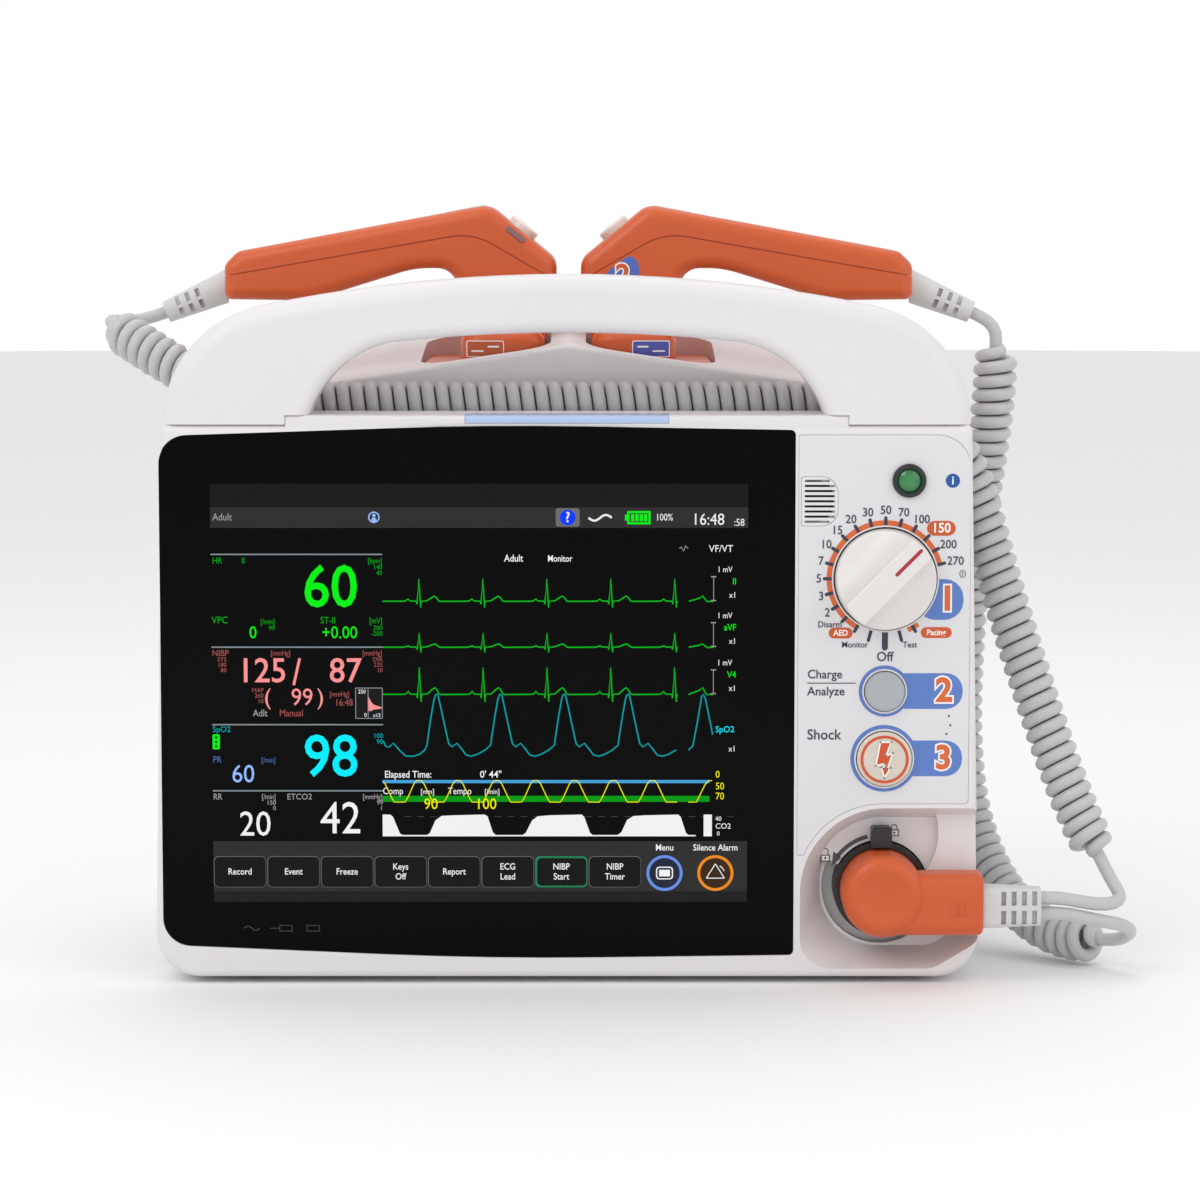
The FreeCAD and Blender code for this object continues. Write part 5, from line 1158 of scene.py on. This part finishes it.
def draw_steps(drawing):
    """Blue tabs with the numbers of the three steps, and the words beside the buttons."""
    right = 30.1
    charge = (CHARGE_Z - KNOB_Z) / MM
    shock = (SHOCK_Z - KNOB_Z) / MM
    for number, middle, left, height in ((1, -8.0, 12.0, 15.8), (2, charge, 2.0, 13.9),
                                         (3, shock, 2.0, 13.9)):
        radius = height / 2 - 0.6
        drawing.block("pill_blue", left, middle - height / 2, right, middle + height / 2, 0, radius)
        x, capital = (22.9, 9.4) if number > 1 else (23.9, 9.6)
        drawing.say("white", str(number), x, middle, capital, lift=1, bold=0.115)
        drawing.say("orange", str(number), x, middle, capital, lift=2, bold=0.045)
    drawing.ring("pill_blue", 0, charge, 8.65, 9.95, 0.5)
    drawing.ring("pill_blue", 0, shock, 11.55, 13.0, 0.5)
    left = -29.8
    drawing.say("navy", "Charge", left, charge + 6.4, 3.5, "LEFT", bold=0.012, squeeze=0.96)
    drawing.block("navy", left, charge + 2.9, left + 18.6, charge + 3.25, 1)
    drawing.say("navy", "Analyze", left, charge - 0.2, 3.5, "LEFT", bold=0.012, squeeze=0.96)
    drawing.say("navy", "Shock", left, shock + 9.1, 4.1, "LEFT", bold=0.012, squeeze=0.96)
    for x, y in ((24.9, -53.2), (25.5, -56.8), (24.0, -60.2)):
        drawing.disc("black", x, y, 0.38, 1)
    drawing.disc("safety_blue", 25.6, 37.8, 2.7, 1)
    drawing.say("white", "i", 25.6, 37.8, 3.2, lift=2, bold=0.03)


class DEFIB_OT_panel_print(bpy.types.Operator):
    """Print the dial, the step tabs and the words on the label sheet."""
    bl_idname = "defib.panel_print"
    bl_label = "Panel printing"

    def execute(self, context):
        drawing = Drawing(on_panel)
        draw_dial(drawing, context.scene.defib_dial)
        draw_steps(drawing)
        drawing.finish("print", lambda tone: ink("ink_" + tone, INKS[tone]), "label_sheet")
        return {"FINISHED"}


BOLT = [(-1.7, 6.8), (2.6, 6.8), (0.5, 1.4), (3.2, 2.6), (1.1, -3.6), (2.4, -3.2), (0.0, -7.2),
        (-1.3, -3.0), (-0.3, -3.4), (0.1, -1.6), (-3.4, -2.4)]


class DEFIB_OT_shock_mark(bpy.types.Operator):
    """Orange ring and lightning bolt on the shock button's cap."""
    bl_idname = "defib.shock_mark"
    bl_label = "Shock button mark"

    def execute(self, context):
        front = LOW["shock_button"].y
        drawing = Drawing(lambda x, y, lift: upright(CONTROL_X + x * MM, front - lift * PRINT,
                                                     SHOCK_Z + y * MM))
        drawing.ring("bolt_orange", 0, 0, 8.2, 9.3, 0)
        drawing.shape("bolt_orange", BOLT, 1)
        outline = BOLT + [BOLT[0]]
        for first, last in zip(outline, outline[1:]):
            along = (Vector(last) - Vector(first)).normalized() * 0.28
            drawing.stroke("bolt_white", [tuple(Vector(first) - along), tuple(Vector(last) + along)],
                           0.62, 2)
        tones = {"bolt_orange": "CC4A1A", "bolt_white": "F6F2EC"}
        drawing.finish("shock", lambda tone: ink("ink_" + tone, tones[tone]), "button_clear",
                       "shock_button")
        return {"FINISHED"}


class DEFIB_OT_knob_pointer(bpy.types.Operator):
    """Dark red pointer let into the knob's grip."""
    bl_idname = "defib.knob_pointer"
    bl_label = "Knob pointer"

    def execute(self, context):
        front = LOW["energy_knob"].y
        mesh = bmesh.new()
        points = [(x * MM, y * MM) for x, y in pill_points(14.2, 1.35, 0.6, 6)]
        flat_polygon(mesh, points, upright(CONTROL_X, front, KNOB_Z, math.radians(45))
                     @ Matrix.Translation((11.0 * MM, 0, -0.1 * MM)), 0.2 * MM)
        finish_bmesh(mesh, "knob_pointer", ink("enamel_dark_red", "A51C2C", 0.3), "energy_knob")
        return {"FINISHED"}


# ---- raised rims, symbols and labels away from the control panel
SHELF_Y = FACE_Y + 0.011                    # level floor above the lock ring
ARM_Y = LOW["plug_body"].y + 0.0017         # front of the plug's arm
PADDLE_FRONT_Y = LOW["right_paddle_upper_shell"].y
PADDLE_Y = (LOW["right_paddle_electrode"].y + HIGH["right_paddle_electrode"].y) / 2
BASE_FRONT_Y = LOW["right_paddle_lower_shell"].y + 0.002
SIDE_X = LOW["side_panel"].x
BACK_Y = HIGH["rear_housing"].y
MARKS = {"charcoal": "4A484C", "label_white": "F0EEEC", "label_blue": "9DAEDB", "decal_blue": "4668B8",
         "decal_orange": "C9521E", "label_orange": "B9532B", "label_violet": "4A4FA8",
         "window": "80585C", "moulded_orange": "C4531F", "port_green": "3E8E57",
         "port_blue": "3F66B5", "port_yellow": "D9B23A", "plate_grey": "B9BBBE"}


def mark(tone):
    """Ink of a symbol or label."""
    return ink("ink_" + tone, MARKS[tone])


def facing(x, y, z, side, turn=0.0):
    """Matrix that stands a flat drawing up to face left or back."""
    quarter = {"left": -math.pi / 2, "back": math.pi}[side]
    return (Matrix.Translation((x, y, z)) @ Matrix.Rotation(quarter, 4, "Z")
            @ upright(0, 0, 0, turn))


def radial(vert):
    """Distance of a vertex from the knob's axis."""
    return math.hypot(vert.co.x - CONTROL_X, vert.co.z - KNOB_Z)


class DEFIB_OT_dial_rim(bpy.types.Operator):
    """Low white rim round the energy knob, and a black ring of painted shadow in the gap inside it."""
    bl_idname = "defib.dial_rim"
    bl_label = "Dial rim"

    def execute(self, context):
        for name, inner, outer, height, finish in (
                # black ring 0.05 mm high: painted shadow standing in for the shaded gap between the knob and
                # the rim
                ("painted_gap_shadow", KNOB_RADIUS - 2 * MM, KNOB_RADIUS + 0.6 * MM, 0.05 * MM, black_abs()),
                ("dial_rim", KNOB_RADIUS + 0.6 * MM, KNOB_RADIUS + 1.2 * MM, 0.9 * MM, housing_abs())):
            mesh = bmesh.new()
            band(mesh, inner, outer, upright(CONTROL_X, FACE_Y, KNOB_Z), thickness=height, steps=96)
            rims = [edge for edge in mesh.edges
                    if all(abs(vert.co.y - FACE_Y + height) < 1e-7 for vert in edge.verts)
                    and len({round(radial(vert), 6) for vert in edge.verts}) == 1]
            if name == "dial_rim":
                bmesh.ops.bevel(mesh, geom=rims, offset=0.2 * MM, segments=2, profile=0.5,
                                affect="EDGES", material=-1)
            finish_bmesh(mesh, name, finish, "console")
        return {"FINISHED"}


def draw_padlock(drawing, x, z, is_open):
    """Small outlined padlock; the shackle of the open one is lifted to one side."""
    drawing.block("charcoal", x - 1.85, z - 2.4, x + 1.85, z + 0.4, 0)
    drawing.block("label_white", x - 1.35, z - 1.95, x + 1.35, z - 0.05, 1)
    drawing.disc("charcoal", x, z - 0.9, 0.42, 2)
    drawing.block("charcoal", x - 0.14, z - 1.6, x + 0.14, z - 0.9, 2)
    lift = 0.55 if is_open else 0.0
    arc = [(x + 1.05 * math.cos(angle), z + 1.2 + lift + 1.05 * math.sin(angle))
           for angle in [math.pi * step / 12 for step in range(13)]]
    tail = [] if is_open else [(x - 1.05, z + 0.4)]
    drawing.stroke("charcoal", [(x + 1.05, z + 0.4)] + arc + tail, 0.42)


class DEFIB_OT_connector_marks(bpy.types.Operator):
    """Lock symbols and arrow on the shelf of the hollow, and the mark moulded on the plug."""
    bl_idname = "defib.connector_marks"
    bl_label = "Connector marks"

    def execute(self, context):
        drawing = Drawing(lambda x, y, lift: upright(SOCKET_X + x * MM, SHELF_Y - lift * PRINT,
                                                     SOCKET_Z + y * MM))
        draw_padlock(drawing, -21.4, 12.6, True)
        draw_padlock(drawing, 5.4, 22.6, False)
        radius = 20.7
        drawing.ring("charcoal", 0, 0, radius - 0.8, radius + 0.8, 0, math.radians(104),
                     math.radians(143))
        tip, root = (Vector((math.cos(angle), math.sin(angle))) * radius
                     for angle in (math.radians(156), math.radians(142)))
        drawing.shape("charcoal", [tuple(tip), tuple(root * 0.925), tuple(root * 1.12)], 0)
        drawing.finish("hollow", mark, "housing_plastic")
        drawing = Drawing(lambda x, y, lift: upright(SOCKET_X + x * MM, ARM_Y - 0.1 * MM - lift * PRINT,
                                                     SOCKET_Z + y * MM))
        x, y, half = 28.6, -4.5, 2.7
        corners = [(x - half, y - half), (x + half, y - half), (x + half, y + half), (x - half, y + half)]
        for first, last in zip(corners, corners[1:] + corners[:1]):
            drawing.stroke("moulded_orange", [first, last], 0.3)
        drawing.disc("moulded_orange", x, y + 1.5, 0.42)
        for end in ((x - 1.5, y - 0.6), (x + 1.5, y - 0.6), (x, y - 0.9)):
            drawing.stroke("moulded_orange", [(x, y + 1.1), end], 0.26)
        for end in ((x - 0.9, y - 2.2), (x + 0.9, y - 2.2)):
            drawing.stroke("moulded_orange", [(x, y - 0.9), end], 0.26)
        drawing.finish("plug_mark", mark, "orange_plastic")
        return {"FINISHED"}


class DEFIB_OT_paddle_marks(bpy.types.Operator):
    """Labels, step number and status window on the paddles."""
    bl_idname = "defib.paddle_marks"
    bl_label = "Paddle marks"

    def execute(self, context):
        lean = math.radians(10.5)
        for hand, tone in ((-1, "label_orange"), (1, "label_violet")):
            body = "right_paddle" if hand > 0 else "left_paddle"
            top = Drawing(lambda x, y, lift: (
                Matrix.Translation((hand * 41.5 * MM, PADDLE_Y, 0.29935))
                @ Matrix.Rotation(hand * lean, 4, "Y") @ Matrix.Translation((x * MM, y * MM, lift * PRINT))))
            top.block("label_blue", -8.0, -11.0, 8.0, 11.0, 0, 1.5)
            for row in (-6.0, -2.0, 2.0, 6.0):
                top.block("label_white", -5.5, row - 0.5, 5.5, row + 0.5, 1, 0.4)
            top.finish(body + "_label", mark, "label_sheet", body)
            seat = Drawing(lambda x, y, lift: upright(hand * (33.0 + x) * MM, BASE_FRONT_Y - lift * PRINT,
                                                      (244.0 + y) * MM))
            seat.block("label_white", -7.5, -3.3, 7.5, 3.3, 0, 0.8)
            seat.block(tone, -7.1, -2.9, 7.1, 2.9, 1, 0.6)
            seat.block("label_white", -5.5, 0.5, -1.0, 1.2, 2)
            seat.block("label_white", 0.6, -1.2, 5.5, -0.6, 2)
            seat.finish(body + "_seat_label", mark, "label_sheet", body)
        decal = Drawing(lambda x, y, lift: upright(x * MM, PADDLE_FRONT_Y - lift * PRINT, y * MM))
        outline = [(16.0, 264.5), (26.5, 264.5), (28.2, 266.0), (28.4, 275.5), (27.6, 278.6), (25.6, 280.3),
                   (23.2, 280.0), (17.0, 275.4), (15.0, 272.6), (14.4, 268.0), (14.8, 265.6)]
        decal.shape("decal_blue", outline, 0)
        decal.say("label_white", "2", 21.9, 272.6, 8.6, lift=1, bold=0.10)
        decal.say("decal_orange", "2", 21.9, 272.6, 8.6, lift=2, bold=0.035)
        decal.finish("step_decal", mark, "label_sheet", "right_paddle")
        mesh = bmesh.new()
        points = [(x * MM, y * MM) for x, y in pill_points(9.2, 2.4, 1.0, 6)]
        tilt = Matrix.Rotation(math.radians(-32), 4, "X")
        flat_polygon(mesh, points, upright(-0.0212, PADDLE_FRONT_Y + 0.6 * MM, 0.2890, math.radians(-39))
                     @ tilt, 0.35 * MM)
        finish_bmesh(mesh, "status_window", mark("window"), "left_paddle")
        return {"FINISHED"}


class DEFIB_OT_side_marks(bpy.types.Operator):
    """Coloured rings of the patient sockets, a grey pill of painted shade for the door's recessed finger
    pull, and the plain rating plate.
    """
    bl_idname = "defib.side_marks"
    bl_label = "Side and back marks"

    def execute(self, context):
        side = Drawing(lambda x, y, lift: facing(SIDE_X - lift * PRINT, (-26.0 - x) * MM, y * MM, "left"))
        for z, tone in ((148.0, "port_green"), (116.0, "port_blue"), (84.0, "port_yellow")):
            side.ring(tone, 0, z, 10.2, 12.0, 0)
        side.ring("charcoal", 0, 56.0, 6.6, 7.6, 0)
        side.finish("ports", mark, "label_sheet")
        # grey pill on the recorder door: painted shade standing in for its recessed finger pull; the same
        # grey is real print on the rating plate
        door = Drawing(lambda x, y, lift: facing(SIDE_X - 1 * MM - lift * PRINT,
                                                 (42.0 - x) * MM, y * MM, "left"))
        door.block("plate_grey", -9.0, 166.0, 9.0, 170.0, 0, 1.9)
        door.finish("finger_pull_painted_shade", mark, "label_sheet", "recorder_door")
        back = Drawing(lambda x, y, lift: facing(x * MM, BACK_Y + lift * PRINT, y * MM, "back"))
        back.block("plate_grey", -76.0, 60.0, -16.0, 96.0, 0, 2.0)
        back.block("label_white", -75.2, 60.8, -16.8, 95.2, 1, 1.6)
        for row in range(5):
            back.block("plate_grey", -71.0, 66.0 + 5.6 * row, -30.0 - 6.0 * (row % 2), 67.2 + 5.6 * row, 2)
        back.finish("rating_plate", mark, "label_sheet")
        return {"FINISHED"}


# ---- sidebar
OPERATORS = (DEFIB_OT_stage, DEFIB_OT_cords, DEFIB_OT_finishes, DEFIB_OT_screen, DEFIB_OT_panel_print,
             DEFIB_OT_shock_mark, DEFIB_OT_knob_pointer, DEFIB_OT_dial_rim, DEFIB_OT_connector_marks,
             DEFIB_OT_paddle_marks, DEFIB_OT_side_marks)


class DEFIB_PT_sidebar(bpy.types.Panel):
    """Lists the steps that finish the machine and the sizes that they use."""
    bl_idname = "DEFIB_PT_sidebar"
    bl_label = "Defibrillator"
    bl_space_type = "VIEW_3D"
    bl_region_type = "UI"
    bl_category = "Defibrillator"

    def draw(self, context):
        column = self.layout.column()
        for operator in OPERATORS:
            column.operator(operator.bl_idname)
        for name in ("defib_cord", "defib_stage", "defib_dial", "defib_screen"):
            settings = getattr(context.scene, name)
            for key in settings.bl_rna.properties.keys():
                if key not in ("rna_type", "name"):
                    column.prop(settings, key)


SETTINGS = {"defib_cord": CordSettings, "defib_stage": StageSettings, "defib_dial": DialSettings,
            "defib_screen": ScreenSettings}


def register():
    for kind in (*SETTINGS.values(), *OPERATORS, DEFIB_PT_sidebar):
        bpy.utils.register_class(kind)
    for name, kind in SETTINGS.items():
        setattr(bpy.types.Scene, name, PointerProperty(type=kind))


def unregister():
    for name in SETTINGS:
        delattr(bpy.types.Scene, name)
    for kind in reversed((*SETTINGS.values(), *OPERATORS, DEFIB_PT_sidebar)):
        bpy.utils.unregister_class(kind)


def main():
    register()
    for operator in OPERATORS:
        group, name = operator.bl_idname.split(".")
        getattr(getattr(bpy.ops, group), name)()


if __name__ == "__main__":
    main()
